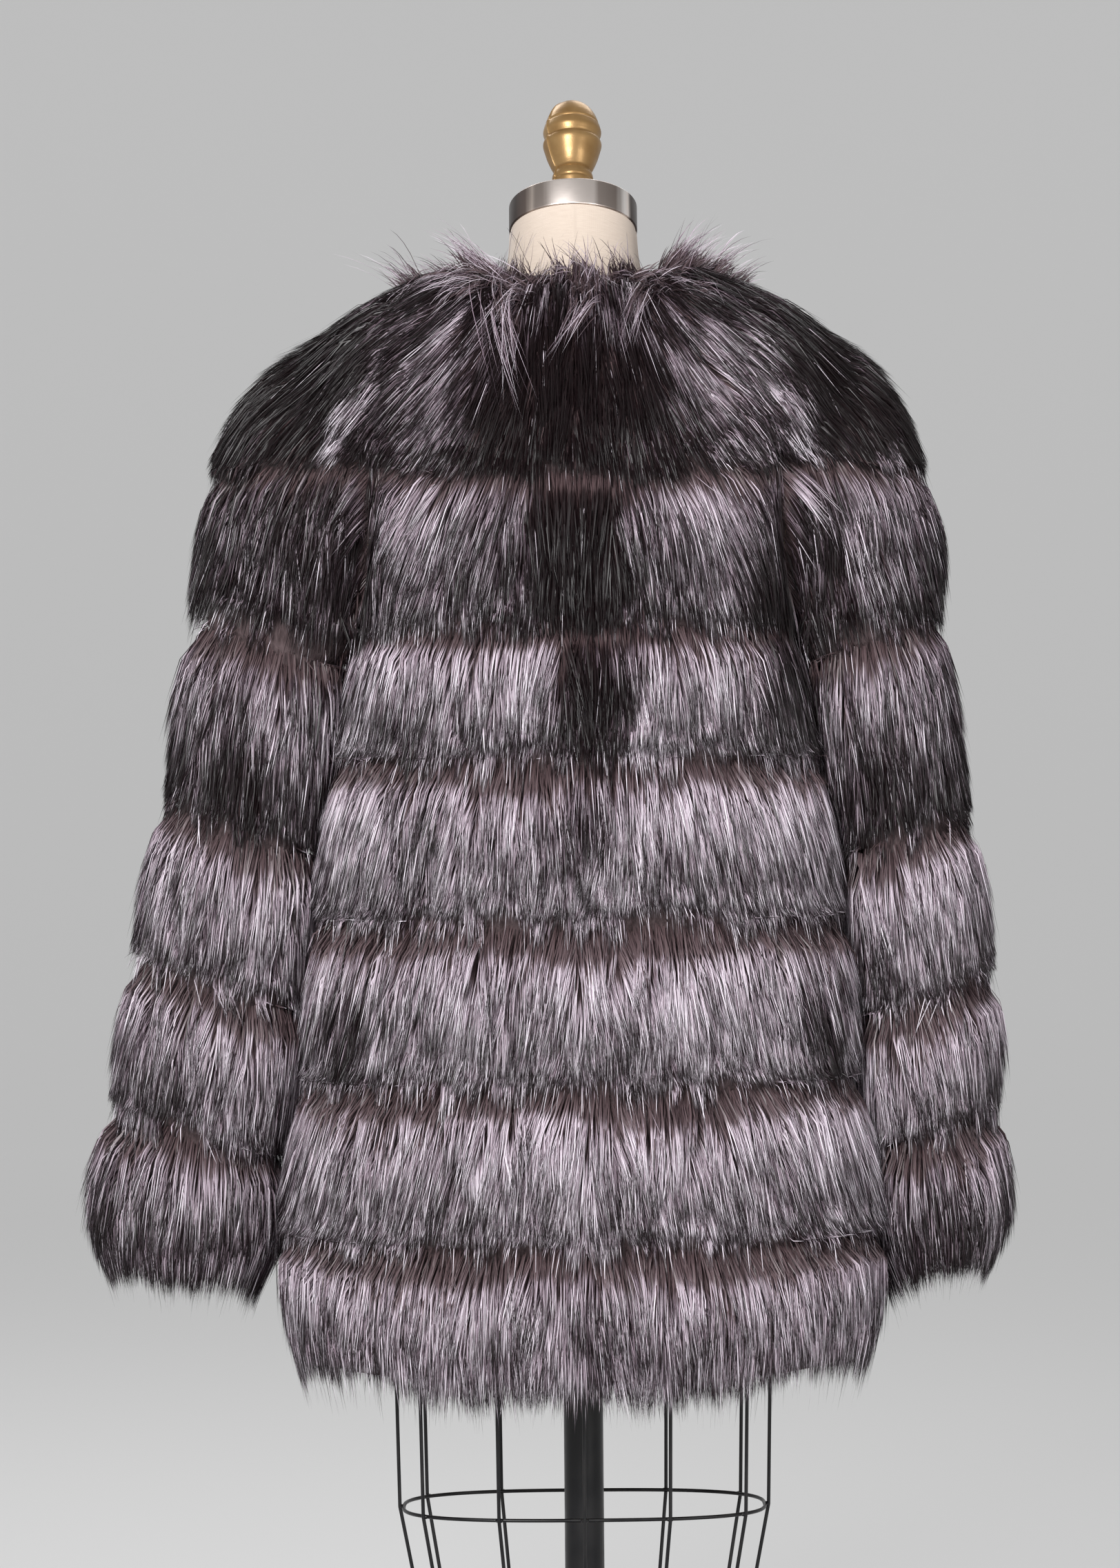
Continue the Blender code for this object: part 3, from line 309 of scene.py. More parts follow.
def coat_pile(station, angle):
    """How far the fur reaches off the skin: its own value at back, sides and front."""
    section = read_sections(COAT_SECTIONS, station)
    back_pile, side_pile, front_pile = (section[..., k] for k in (7, 8, 9))
    main = np.where(np.cos(angle) > 0, back_pile, front_pile)
    side_share = smoothstep(PILE_SIDE_START, PILE_SIDE_END, np.abs(np.sin(angle)))
    return np.maximum(main + (side_pile - main) * side_share, LEAST_PILE)


def station_at(height):
    """The coat's station whose centre-back height is the given one."""
    stations = np.linspace(SHOULDER_STATION, len(COAT_SECTIONS) - 1, 800)
    heights = read_sections(COAT_SECTIONS, stations)[:, 0]
    return np.interp(-np.asarray(height), -heights, stations)


def body_rows():
    """Station, share of the reach and lift of every row, from the neck's edge to the hem."""
    rows = list(YOKE_ROWS)
    first = BODY_SEAMS[0]
    lip_margin = (first - BODY_SEAMS[1]) * (1.0 - LIP.down)
    rows.append(BodyRow(station_at(first + lip_margin), LIP.share, LIP.lift))
    for top, bottom in zip(BODY_SEAMS[:-1], BODY_SEAMS[1:]):
        tier = ARMHOLE_TIER if top == first else PLAIN_TIER
        rows += [BodyRow(station_at(top - row.down * (top - bottom)), row.share, row.lift)
                 for row in tier]
    top = BODY_SEAMS[-1]
    for row in END_TIER:
        skin_height = top - row.down * (top - BODY_SKIN_HEM)
        fur_height = top - row.down * (top - BODY_FUR_HEM)
        rows.append(BodyRow(station_at(skin_height), row.share,
                            row.lift + fur_height - skin_height))
    return rows


BODY_ROWS = body_rows()
STATIONS = np.array([row.station for row in BODY_ROWS])
SHARES = np.array([row.share for row in BODY_ROWS])
LIFTS = np.array([row.lift for row in BODY_ROWS])
TIP_ROW = int(np.flatnonzero(STATIONS == SHOULDER_STATION)[0])
UNDERARM_ROW = len(YOKE_ROWS) + len(ARMHOLE_TIER)
TIP_STATION, UNDERARM_STATION = STATIONS[TIP_ROW], STATIONS[UNDERARM_ROW]


def fur_surface(station, angle, share, lift):
    """The fur's reach over the skin, by the row's share of it, raised by the row's lift."""
    pile = coat_pile(station, angle)
    point = coat_skin(station, angle)
    point = point + (pile * share)[..., None] * surface_normal(coat_skin, station, angle)
    point[..., 2] += lift * np.minimum(1.0, pile / FULL_LIFT_PILE)
    return point


def armhole_angle(station, dip):
    """How far round the panel's edge lies: a quarter turn, less a bow between tip and underarm."""
    share = np.clip((station - TIP_STATION) / (UNDERARM_STATION - TIP_STATION), 0.0, 1.0)
    return math.pi / 2 - dip * np.sin(math.pi * share) ** ARMHOLE_POWER


def armhole_edge(side, dip, front):
    """The armhole's edge on the skin and on the fur, from the shoulder point to the underarm.

    The fur's edge lies along the surface's normal, and turns down and away towards the
    underarm, where the fur of the body meets the fur of the sleeve.
    """
    rows = np.arange(TIP_ROW, UNDERARM_ROW + 1)
    angles = armhole_angle(STATIONS[rows], dip)
    angles = side * (math.pi - angles if front else angles)
    skin = coat_skin(STATIONS[rows], angles)
    normal = surface_normal(coat_skin, STATIONS[rows], angles)
    share = (STATIONS[rows] - TIP_STATION) / (UNDERARM_STATION - TIP_STATION)
    fold = smoothstep(FOLD_START, FOLD_END, share)[:, None]
    away = unit(np.stack([np.full(len(rows), side * ARMPIT_LEAN), skin[:, 1] / ARMPIT_SPREAD,
                          -np.ones(len(rows))], axis=-1))
    reach = np.maximum(coat_pile(STATIONS[rows], angles) * SHARES[rows], ARMPIT_PILE)
    fur = skin + reach[:, None] * unit(normal * (1.0 - fold) + away * fold)
    fur[:, 2] += LIFTS[rows] * (1.0 - fold[:, 0])
    return skin, fur


# ------------------------------------------------------------------ panels of the body
def panel_angles(which):
    """Angles of a panel's columns in each row, from its left edge to its right edge."""
    if which == "back":
        edge = armhole_angle(STATIONS, BACK_ARMHOLE_DIP)
        spread = np.linspace(-1.0, 1.0, 2 * COLUMNS_PER_QUARTER + 1)
        return edge[:, None] * spread[None, :]
    edge = math.pi - armhole_angle(STATIONS, FRONT_ARMHOLE_DIP)
    spread = np.linspace(0.0, 1.0, COLUMNS_PER_QUARTER + 1)
    angles = edge[:, None] + (math.pi - edge[:, None]) * spread[None, :]
    return angles if which == "front_right" else -angles[:, ::-1]


def narrowed(grid, at_start, at_end):
    """Moves the grid's edge columns half a seam gap inwards, in the rows given as true."""
    grid = grid.copy()
    start_way = unit(grid[:, 1] - grid[:, 0])
    end_way = unit(grid[:, -2] - grid[:, -1])
    grid[at_start, 0] += 0.5 * SEAM_GAP * start_way[at_start]
    grid[at_end, -1] += 0.5 * SEAM_GAP * end_way[at_end]
    return grid


def panel_armholes(which):
    """For each of a panel's armhole edges: its column, side, dip, and whether it is a front."""
    if which == "back":
        return [(0, -1.0, BACK_ARMHOLE_DIP, False), (-1, 1.0, BACK_ARMHOLE_DIP, False)]
    if which == "front_right":
        return [(0, 1.0, FRONT_ARMHOLE_DIP, True)]
    return [(-1, -1.0, FRONT_ARMHOLE_DIP, True)]


# ------------------------------------------------------------------ sleeves
def armhole_loop(side):
    """The armhole's edge as two lines of points, back and front, on the skin and on the fur.

    Each runs from the shoulder point to the underarm, moved a seam gap towards the sleeve,
    square to the edge and to the fur.
    """
    back_skin, back_fur = armhole_edge(side, BACK_ARMHOLE_DIP, False)
    front_skin, front_fur = armhole_edge(side, FRONT_ARMHOLE_DIP, True)
    skin = np.concatenate([back_skin, front_skin[-2:0:-1]])
    fur = np.concatenate([back_fur, front_fur[-2:0:-1]])
    along = np.roll(skin, -1, axis=0) - np.roll(skin, 1, axis=0)
    off = side * SEAM_GAP * unit(np.cross(fur - skin, along))
    skin, fur = skin + off, fur + off
    count = len(back_skin)
    front = np.concatenate([[0], np.arange(len(skin) - 1, count - 1, -1), [count - 1]])
    return skin[:count], skin[front], fur[:count], fur[front]


def edge_weights(row):
    """1 at the start, or at the end, of a row of points, and 0 past the blend's length from it."""
    steps = np.linalg.norm(np.diff(row, axis=0), axis=1)
    walked = np.concatenate([[0.0], np.cumsum(steps)])
    reach = min(EDGE_BLEND, 0.5 * walked[-1])
    return fall(0.0, reach, walked), fall(0.0, reach, walked[-1] - walked)


def sleeve_rows():
    """Station, share of the reach and lift of a sleeve's rows below the underarm."""
    rows = [(SLEEVE_SEAMS[0] - LAST_CAP_LIP, LIP.share, LIP.lift)]
    last = SLEEVE_SEAMS[-2]
    for top, bottom in zip(SLEEVE_SEAMS[:-1], SLEEVE_SEAMS[1:]):
        tier = END_TIER if top == last else PLAIN_TIER
        for row in tier:
            drop = -CUFF_FUR_DROP * row.down if top == last else 0.0
            rows.append((top + row.down * (bottom - top), row.share, row.lift + drop))
    return np.array(rows)


def sleeve_grids(which):
    """Outer and inner points of a sleeve: rows down the arm, columns round it.

    Columns run from the back edge of the armhole round the outside to its front edge.  Cap rows
    end on those edges.  Below the underarm the first and last columns are one line.
    """
    side = SIDES[which]
    back_skin, front_skin, back_fur, front_fur = armhole_loop(side)
    cap = np.array(CAPS[which])
    sections = SLEEVES[which]
    lower = sleeve_rows()
    cap_count = len(back_skin)
    turn = np.linspace(0.0, 1.0, SLEEVE_COLUMNS + 1)
    near_start = fall(0.0, 0.5, turn)
    near_end = near_start[::-1]
    tube_half_depth, pile_in, pile_out = read_sections(sections, 0.0)[5:]

    inner, reach, lifts = [], [], []
    for k in range(cap_count):
        share = (STATIONS[TIP_ROW + k] - TIP_STATION) / (UNDERARM_STATION - TIP_STATION)
        x_outer = np.interp(share, cap[:, 0], cap[:, 1])
        z_outer = np.interp(share, cap[:, 0], cap[:, 2])
        edge_x = 0.5 * abs(back_skin[k, 0] + front_skin[k, 0])
        edge_depth = 0.5 * (front_skin[k, 1] - back_skin[k, 1])
        edge_middle = 0.5 * (front_skin[k, 1] + back_skin[k, 1])
        half_depth = max(edge_depth,
                         tube_half_depth * smoothstep(CAP_ROUND_START, CAP_ROUND_END, share))
        start = math.asin(min(1.0, edge_depth / max(half_depth, 1e-6)))
        angle = start + (2 * math.pi - 2 * start) * turn
        half_width = (x_outer - edge_x) / (1.0 + math.cos(start))
        x_centre = x_outer - half_width
        row = np.zeros((len(turn), 3))
        row[:, 0] = side * (x_centre - half_width * np.cos(angle))
        row[:, 1] = edge_middle - half_depth * np.sin(angle)
        outwards = (1.0 - np.cos(angle)) * 0.5
        edge_z = back_skin[k, 2] + (front_skin[k, 2] - back_skin[k, 2]) * turn
        rise = smoothstep(outwards[0] - 1e-9, 1.0, outwards)
        row[:, 2] = edge_z + (z_outer - edge_z) * rise
        row += near_start[:, None] * (back_skin[k] - row[0])
        row += near_end[:, None] * (front_skin[k] - row[-1])
        inner.append(row)
        reach.append(pile_out + (pile_in - pile_out) * (0.5 + 0.5 * np.cos(angle)))
        lifts.append(LIFTS[TIP_ROW + k])
    shares = list(SHARES[TIP_ROW:UNDERARM_ROW + 1])
    shares[-1] = 1.0
    lifts[-1] = 0.0

    angle = 2 * math.pi * turn
    for station, share, lift in lower:
        z_outer, z_inner, x_inner, x_outer, y_centre, half_depth, pile_in, pile_out = (
            read_sections(sections, station))
        outwards = (1.0 - np.cos(angle)) * 0.5
        row = np.stack([side * (x_inner + (x_outer - x_inner) * outwards),
                        y_centre - half_depth * np.sin(angle),
                        z_inner + (z_outer - z_inner) * outwards], axis=-1)
        inner.append(row)
        narrowing = 1.0 + min(station / 2.0, 1.0)
        reach.append(pile_out + (pile_in - pile_out) * (0.5 + 0.5 * np.cos(angle)) ** narrowing)
        shares.append(share)
        lifts.append(lift)
    inner, reach = np.array(inner), np.array(reach)
    shares, lifts = np.array(shares), np.array(lifts)

    onward = np.gradient(inner, axis=1)
    wrapped = inner[:, 1] - inner[:, -2]
    onward[cap_count - 1:, 0] = onward[cap_count - 1:, -1] = wrapped[cap_count - 1:]
    down = np.gradient(inner, axis=0)
    normal = unit(np.cross(down, onward)) * side
    normal[0] = normal[1]
    outer = inner + (reach * shares[:, None])[..., None] * normal
    outer[..., 2] += lifts[:, None] * np.minimum(1.0, reach / FULL_LIFT_PILE)
    for k in range(1, cap_count):
        from_start, from_end = edge_weights(inner[k])
        outer[k] += from_start[:, None] * (back_fur[k] - outer[k, 0])
        outer[k] += from_end[:, None] * (front_fur[k] - outer[k, -1])
    outer[0], inner[0] = back_fur[0], back_skin[0]
    return outer, inner, cap_count


def tube(path, radius, sides, closed=False):
    """Rings of points round a path that stays near level or near upright."""
    if closed:
        along = unit(np.roll(path, -1, axis=0) - np.roll(path, 1, axis=0))
        up = np.array([0.0, 0.0, 1.0])
    else:
        along = unit(np.gradient(path, axis=0))
        up = np.array([1.0, 0.0, 0.0])
    across = unit(np.cross(along, up))
    rise = np.cross(across, along)
    turn = np.linspace(0.0, 2 * math.pi, sides, endpoint=False)
    return (path[:, None, :] + radius * (np.cos(turn)[None, :, None] * across[:, None, :]
                                         + np.sin(turn)[None, :, None] * rise[:, None, :]))


def cage_outline(angle, scale_x, scale_y):
    """A rounded oblong round the pole; angle 0 is centre back."""
    sine, cosine = np.sin(angle), np.cos(angle)
    return np.stack([scale_x * np.sign(sine) * np.abs(sine) ** CAGE_SQUARENESS,
                     -scale_y * np.sign(cosine) * np.abs(cosine) ** CAGE_SQUARENESS], axis=-1)


def ring_size(height):
    """Half width and half depth of the line on which the rings lie, at a height."""
    heights = (LOWER_RING_HEIGHT, UPPER_RING_HEIGHT, CAGE_BEND_HEIGHT, TORSO_BASE_HEIGHT)
    half_width = np.interp(height, heights, CAGE_HALF_WIDTHS)
    return half_width, half_width * CAGE_DEPTH_SHARE


# ------------------------------------------------------------------ meshes
def put_mesh(name, points, faces, finishes, layers=None, face_finish=None, sharp_degrees=None):
    """A piece from whole arrays.

    faces is one array, or a list of arrays with three or four corners a row.  layers names each
    UV layer and gives it either a place for each point or a place for each corner.
    """
    groups = faces if isinstance(faces, list) else [faces]
    groups = [np.asarray(group, dtype=np.int32) for group in groups]
    corners = np.concatenate([group.ravel() for group in groups])
    counts = np.concatenate([np.full(len(group), group.shape[1]) for group in groups])
    starts = np.concatenate([[0], np.cumsum(counts)[:-1]])
    mesh = bpy.data.meshes.new(name)
    mesh.vertices.add(len(points))
    mesh.vertices.foreach_set("co", np.asarray(points, dtype=np.float32).ravel())
    mesh.loops.add(len(corners))
    mesh.loops.foreach_set("vertex_index", corners)
    mesh.polygons.add(len(counts))
    mesh.polygons.foreach_set("loop_start", starts.astype(np.int32))
    for layer, places in (layers or {}).items():
        places = np.asarray(places, dtype=np.float32)
        if len(places) == len(points):
            places = places[corners]
        mesh.uv_layers.new(name=layer).data.foreach_set("uv", places.ravel())
    for finish in finishes:
        mesh.materials.append(finish)
    if face_finish is not None:
        mesh.polygons.foreach_set("material_index", np.asarray(face_finish, dtype=np.int32))
    mesh.update()
    mesh.validate()
    mesh.shade_smooth()
    if sharp_degrees is not None:
        mesh.set_sharp_from_angle(angle=math.radians(sharp_degrees))
    made = bpy.data.objects.new(name, mesh)
    bpy.context.scene.collection.objects.link(made)
    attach(made, "root")
    return made


def quads_from(*corners):
    """Quads whose corners are taken from four arrays of point numbers."""
    return np.stack(corners, axis=-1).reshape(-1, 4)


def neighbours(ids):
    """Quads between neighbours in a grid of point numbers."""
    return quads_from(ids[:-1, :-1], ids[1:, :-1], ids[1:, 1:], ids[:-1, 1:])


def grid_quads(rows, columns, closed=False):
    """Quads of a whole grid of points; closed joins the last column to the first."""
    ids = np.arange(rows * columns).reshape(rows, columns)
    if closed:
        ids = np.concatenate([ids, ids[:, :1]], axis=1)
    return neighbours(ids)


def without_spares(points, groups):
    """The faces renumbered to only the points that they use, and which points those are."""
    used = np.unique(np.concatenate([group.ravel() for group in groups]))
    number = np.zeros(len(points), dtype=np.int32)
    number[used] = np.arange(len(used))
    return [number[group] for group in groups], used


# ------------------------------------------------------------------ the coat's walls
HEM_GHOST_MARK = 0.35         # how far past its end, in tiers, a wall is read on
HEM_GHOST_DROP = 0.045
HEM_GHOST_SHARES = (0.6, 0.6, 1.0)  # of the last row's reach that it keeps along X, Y and Z
COLUMN_SPLITS = 3             # fine columns to each of the cut pieces' columns
LEAST_EDGE_REACH = 0.022      # of the hair along an armhole
EDGE_LEAN = 0.18              # how far that hair leans out to the side for each unit back or front
EDGE_TURN_END = 0.45          # share of the armhole's depth by which it has turned so
LEAST_REACH = 0.011           # of hair anywhere
OPEN_SHARE = 0.97             # the reach that hair keeps where a tier is tucked under the last

Wall = namedtuple("Wall", "skin reach marks")


def finer_columns(grid):
    """The grid with more columns, on smooth curves through those it has."""
    rows, columns = grid.shape[:2]
    flat = grid.transpose(1, 0, 2).reshape(columns, rows * 3)
    at = np.linspace(0, columns - 1, (columns - 1) * COLUMN_SPLITS + 1)
    return read_sections(flat, at).reshape(len(at), rows, 3).transpose(1, 0, 2)


def body_marks():
    """A mark for each of the body's rows: whole numbers at the seams, from 0 at the neck."""
    spine = coat_skin(STATIONS, np.zeros(len(STATIONS)))
    walked = np.concatenate([[0.0], np.cumsum(np.linalg.norm(np.diff(spine, axis=0), axis=1))])
    lip = len(YOKE_ROWS)
    marks = list(LIP.down * walked[:lip] / walked[lip]) + [LIP.down]
    for number, rows in enumerate([ARMHOLE_TIER] + [PLAIN_TIER] * 4 + [END_TIER], start=1):
        marks += [number + row.down for row in rows]
    return np.array(marks)


def sleeve_marks():
    """A mark for each of a sleeve's rows; its tiers run on from those of the body."""
    marks = body_marks()[TIP_ROW:UNDERARM_ROW + 1]
    marks = np.where(marks > 1.0, 1.0 + (marks - 1.0) * OPEN_SHARE, marks)
    marks = list(marks) + [1.0 + LIP.down]
    for number, rows in enumerate([PLAIN_TIER] * 3 + [END_TIER], start=2):
        marks += [number + row.down for row in rows]
    return np.array(marks)


def hair_edge(side, dip, front):
    """The fur's reach along an armhole, for the hair and for the cut pieces.

    The hair's turns from up to straight back or front.  The cut pieces' lies in a groove, which
    the loose hair hides.
    """
    skin, fur = armhole_edge(side, dip, front)
    share = np.linspace(0.0, 1.0, len(skin))
    turned_out = smoothstep(0.0, EDGE_TURN_END, share)[:, None]
    facing = unit(np.array([EDGE_LEAN * side, 1.0 if front else -1.0, 0.0]))
    way = unit(unit(fur[0] - skin[0]) * (1.0 - turned_out) + facing * turned_out)
    reach = np.maximum(np.linalg.norm(fur - skin, axis=1), LEAST_EDGE_REACH)
    return skin + reach[:, None] * way, fur


def bent_to_hair_edge(grid, row_numbers, at_start, new, old):
    """Moves rows of a grid near one end from the old edge to the new one, by edge weights."""
    for k, row in enumerate(row_numbers):
        weights = edge_weights(grid[row])[0 if at_start else 1]
        grid[row] += weights[:, None] * (new[k] - old[k])


def panel_wall(which):
    """Outer and inner points of one of the body's pieces, and the reach of its hair."""
    angles = panel_angles(which)
    stations = np.broadcast_to(STATIONS[:, None], angles.shape)
    inner = coat_skin(stations, angles)
    outer = fur_surface(stations, angles, SHARES[:, None], LIFTS[:, None])
    hair = outer.copy()
    armhole_rows = np.arange(TIP_ROW, UNDERARM_ROW + 1)
    for column, side, dip, front in panel_armholes(which):
        new, cut = hair_edge(side, dip, front)
        bent_to_hair_edge(hair, armhole_rows, column == 0, new, hair[armhole_rows, column])
        outer[armhole_rows, column] = cut
    numbers = np.arange(len(STATIONS))
    seamed = (numbers <= TIP_ROW) | (numbers >= UNDERARM_ROW)
    always = np.ones(len(STATIONS), dtype=bool)
    at_start = always if which == "front_left" else seamed
    at_end = always if which == "front_right" else seamed
    return narrowed(outer, at_start, at_end), narrowed(inner, at_start, at_end), hair


def open_ratio(marks):
    """How much further than the cut pieces' rows the hair reaches under each seam."""
    below = (marks > 1.0) & (np.mod(marks, 1.0) < NOTCH.down + 0.001)
    return np.where(below, OPEN_SHARE / NOTCH.share, 1.0)


def make_wall(outer, inner, marks):
    """The fine leather surface and the fur's reach over it, with a row past the end."""
    ratio = open_ratio(marks)[:, None, None]
    skin = finer_columns(inner)
    reach = inner + ratio * (outer - inner)
    depth = np.linalg.norm(reach - inner, axis=-1, keepdims=True)
    reach = inner + (reach - inner) * np.maximum(1.0, LEAST_REACH / np.maximum(depth, 1e-4))
    reach = finer_columns(reach)
    drop = np.array([0.0, 0.0, -HEM_GHOST_DROP])
    end_skin = skin[-1:] + drop
    end_reach = end_skin + (reach[-1:] - skin[-1:]) * HEM_GHOST_SHARES
    return Wall(np.concatenate([skin, end_skin]), np.concatenate([reach, end_reach]),
                np.append(marks, marks[-1] + HEM_GHOST_MARK))


def read_wall(wall, mark, column):
    """Points on the leather and on the fur's reach at fractional marks and columns."""
    last = len(wall.marks) - 2
    row = np.clip(np.searchsorted(wall.marks, mark, side="right") - 1, 0, last)
    t = ((mark - wall.marks[row]) / (wall.marks[row + 1] - wall.marks[row]))[..., None]
    first = np.clip(column.astype(int), 0, wall.skin.shape[1] - 2)
    s = (column - first)[..., None]
    found = []
    for grid in (wall.skin, wall.reach):
        above = grid[row, first] * (1 - s) + grid[row, first + 1] * s
        below = grid[row + 1, first] * (1 - s) + grid[row + 1, first + 1] * s
        found.append(above * (1 - t) + below * t)
    return found


# ------------------------------------------------------------------ the pelts
PELT_DEPTH_SHARE = 0.45       # how much of the fur's reach the leather and underfur fill
PELT_DEPTH_MOST = 0.0185
PELT_UV_GAP = 0.02            # between the leather's and the underfur's halves of the map


def pelt(name, outer, inner, marks, cap_count, side):
    """A closed wall: leather inside, underfur outside, strips of leather round the edges.

    Underfur point = leather point + the smaller of a share of the reach and a fixed depth.
    A sleeve's rows are open as far as cap_count, and below that their ends are one line.
    """
    skin, fur = finer_columns(inner), finer_columns(outer)
    reach = np.linalg.norm(fur - skin, axis=-1, keepdims=True)
    share = np.minimum(PELT_DEPTH_SHARE, PELT_DEPTH_MOST / np.maximum(reach, 1e-6))
    fur = skin + (fur - skin) * share
    rows, columns = skin.shape[:2]
    ids = np.arange(rows * columns).reshape(rows, columns)
    if cap_count:
        ids[0] = ids[0, 0]
        ids[cap_count - 1:, -1] = ids[cap_count - 1:, 0]
    count = rows * columns
    outside = neighbours(ids)
    inside = outside[:, ::-1] + count
    open_end = cap_count if cap_count else rows
    start, end = ids[:open_end, 0], ids[:open_end, -1]
    lines = [(ids[-1, :-1], ids[-1, 1:]), (start[:-1], start[1:]), (end[1:], end[:-1])]
    if not cap_count:
        lines.append((ids[0, 1:], ids[0, :-1]))
    edges = [quads_from(here, here + count, there + count, there) for here, there in lines]
    faces = np.concatenate([outside, inside] + edges)
    finish = np.concatenate([np.zeros(len(outside)), np.ones(len(faces) - len(outside))])
    if side < 0:
        faces = faces[:, ::-1]
    across = np.broadcast_to(np.linspace(0, 0.5 - PELT_UV_GAP, columns), (rows, columns))
    down = np.broadcast_to(((marks - marks[0]) / (marks[-1] - marks[0]))[:, None],
                           (rows, columns))
    half = np.stack([across, down], axis=-1).reshape(-1, 2)
    places = np.concatenate([half, half + [0.5 + PELT_UV_GAP, 0.0]])
    corners = np.array([len(set(face)) for face in faces.tolist()])
    pinched = np.array([[n for k, n in enumerate(face) if n != face[k - 1]]
                        for face in faces[corners == 3].tolist()], dtype=np.int32).reshape(-1, 3)
    finish = np.concatenate([finish[corners == 4], finish[corners == 3]])
    points = np.concatenate([fur.reshape(-1, 3), skin.reshape(-1, 3)])
    groups, used = without_spares(points, [faces[corners == 4], pinched])
    made = put_mesh(name, points[used], groups, [underfur, leather],
                    {"OFBake": places[used]}, finish)
    return made


# ------------------------------------------------------------------ how the pelts are coloured
# Middle of a patch across and up, half its width and height, its tone (0 black, 1 bright
# silver), how far it takes over from the coat's own tone, and how far it leans for each unit up.
Patch = namedtuple("Patch", "x z half_width half_height tone strength lean", defaults=(0.0,))
PATCHES = [
    Patch(0.000, 1.352, 0.060, 0.024, 0.45, 0.45),  # pale hair that hangs from the nape
    Patch(0.001, 1.280, 0.088, 0.062, -0.30, 1.00),  # centre back stripe, yoke
    Patch(0.003, 1.185, 0.042, 0.080, -0.30, 1.00),  # tier 2
    Patch(0.008, 1.066, 0.038, 0.062, -0.10, 1.00),  # tier 3
    Patch(0.007, 0.953, 0.028, 0.062, 0.20, 0.65),  # tier 4
    Patch(-0.258, 1.318, 0.062, 0.080, -0.15, 1.00),  # shoulders
    Patch(0.262, 1.320, 0.062, 0.080, -0.15, 1.00),
    Patch(0.188, 1.098, 0.030, 0.084, 0.05, 0.90),  # right side under the arm
    Patch(-0.194, 1.165, 0.024, 0.095, 0.10, 0.80),
    Patch(0.194, 1.190, 0.024, 0.070, 0.10, 0.80),
    Patch(-0.202, 0.762, 0.036, 0.034, 0.20, 0.85),  # tier 5, left and right
    Patch(0.215, 0.762, 0.024, 0.038, 0.20, 0.80),
    Patch(-0.213, 1.276, 0.009, 0.036, 0.95, 0.80, 0.57),  # bright tufts by the sleeves' heads
    Patch(0.204, 1.280, 0.009, 0.034, 0.95, 0.75, -0.57),
    Patch(-0.120, 1.402, 0.085, 0.030, 0.00, 0.85),  # dark fur beside the neck
    Patch(0.120, 1.402, 0.085, 0.030, 0.00, 0.85),
    Patch(-0.140, 1.330, 0.044, 0.044, 0.38, 0.70),  # paler sides of the yoke
    Patch(0.140, 1.326, 0.046, 0.046, 0.44, 0.70),
    Patch(0.110, 0.945, 0.066, 0.044, 0.72, 0.60),  # brighter silver on the right, tier 4
    Patch(0.300, 0.886, 0.050, 0.048, 0.74, 0.60),
    Patch(0.280, 1.190, 0.050, 0.055, 0.44, 0.85),  # the right sleeve's paler second tier
]


def tone_at(points, own):
    """How silver the fur is at each point: the tier's own tone, slow waves and the patches.

    A patch's weight is 1 in its middle and falls smoothly to 0 at 1.5 times its half sizes.
    """
    x, y, z = points[..., 0], points[..., 1], points[..., 2]
    tone = own + 0.07 * np.sin(31 * x + 9 * z) * np.sin(23 * z - 14 * x + 2.0)
    tone = tone + 0.06 * np.sin(67 * x + 1.7 * np.sin(19 * z)) * np.sin(40 * y + 11 * z)
    for patch in PATCHES:
        up = z - patch.z
        away = np.hypot((x - patch.x - patch.lean * up) / patch.half_width, up / patch.half_height)
        weight = patch.strength * fall(0.45, 1.50, away)
        weight = weight * fall(0.02, 0.10, y)
        tone = tone + (patch.tone - tone) * weight
    return tone


# ------------------------------------------------------------------ guard hair
HAIR_LENGTH = 0.062
LOCK_HAIR_WIDTH = 0.0014      # a ribbon that shows three or four hairs side by side
SINGLE_HAIR_WIDTH = 0.0008
SPINE_SHARES = np.array([0.0, 0.42, 1.0])  # along a hair, from root to tip
HAIR_WIDTH_PLACES = (0.0, 0.45, 1.0)
HAIR_WIDTHS = (0.80, 1.0, 0.30)  # shares of its width; the tip is a point
TIER_OVERHANG = (-0.014, 0.024)  # how far hair hangs over the tier below
END_OVERHANG = (-0.014, -0.002)  # and past the hem or the cuff's edge
SHORTEST_HAIR = 0.011         # hair whose root is nearer to its tier's end than this isn't grown
LOCK_WIDTH = 0.014
LOCK_LENGTH = 0.028
LOCK_TABLE = (97, 89)         # locks in the pattern before it repeats
USUAL_TIER = 0.135            # length of a tier
LOCK_PULL = 0.50              # how far tips close up within a lock
SINGLE_HAIR_SHARE = 0.30
LONG_HAIR_SHARE = 0.05
LONG_HAIR_GAIN = 1.2
LONG_OVERHANG, LONG_END_OVERHANG = 0.016, 0.010  # how much further long hair hangs over
UNDERFUR_SHARE = 0.10
BAND_UNDERFUR_SHARE = 0.45    # where a tier's brown band shows
UNDERFUR_LENGTH, UNDERFUR_MORE_LENGTH = 0.020, 0.012
HEM_ROUNDING, CUFF_ROUNDING = 0.020, 0.008  # less overhang by the hem's sides, and cuffs
LOCK_LEAN, OWN_LEAN = 0.26, 0.14  # from side to side, for each unit along
PARTING = 0.08                # away from the centre back, from tier 5 down
ROOT_DEPTH = 0.52
LOW_YOKE_FILL = 0.98
ARMHOLE_ZONE = (0.010, 0.040)  # distances from an armhole's seam
ARMHOLE_FROM_MIDDLE = 0.12    # and its least distance from the centre plane
ARMHOLE_DIP = 0.12            # of depth, by which the sleeve's hair dips under the body's there
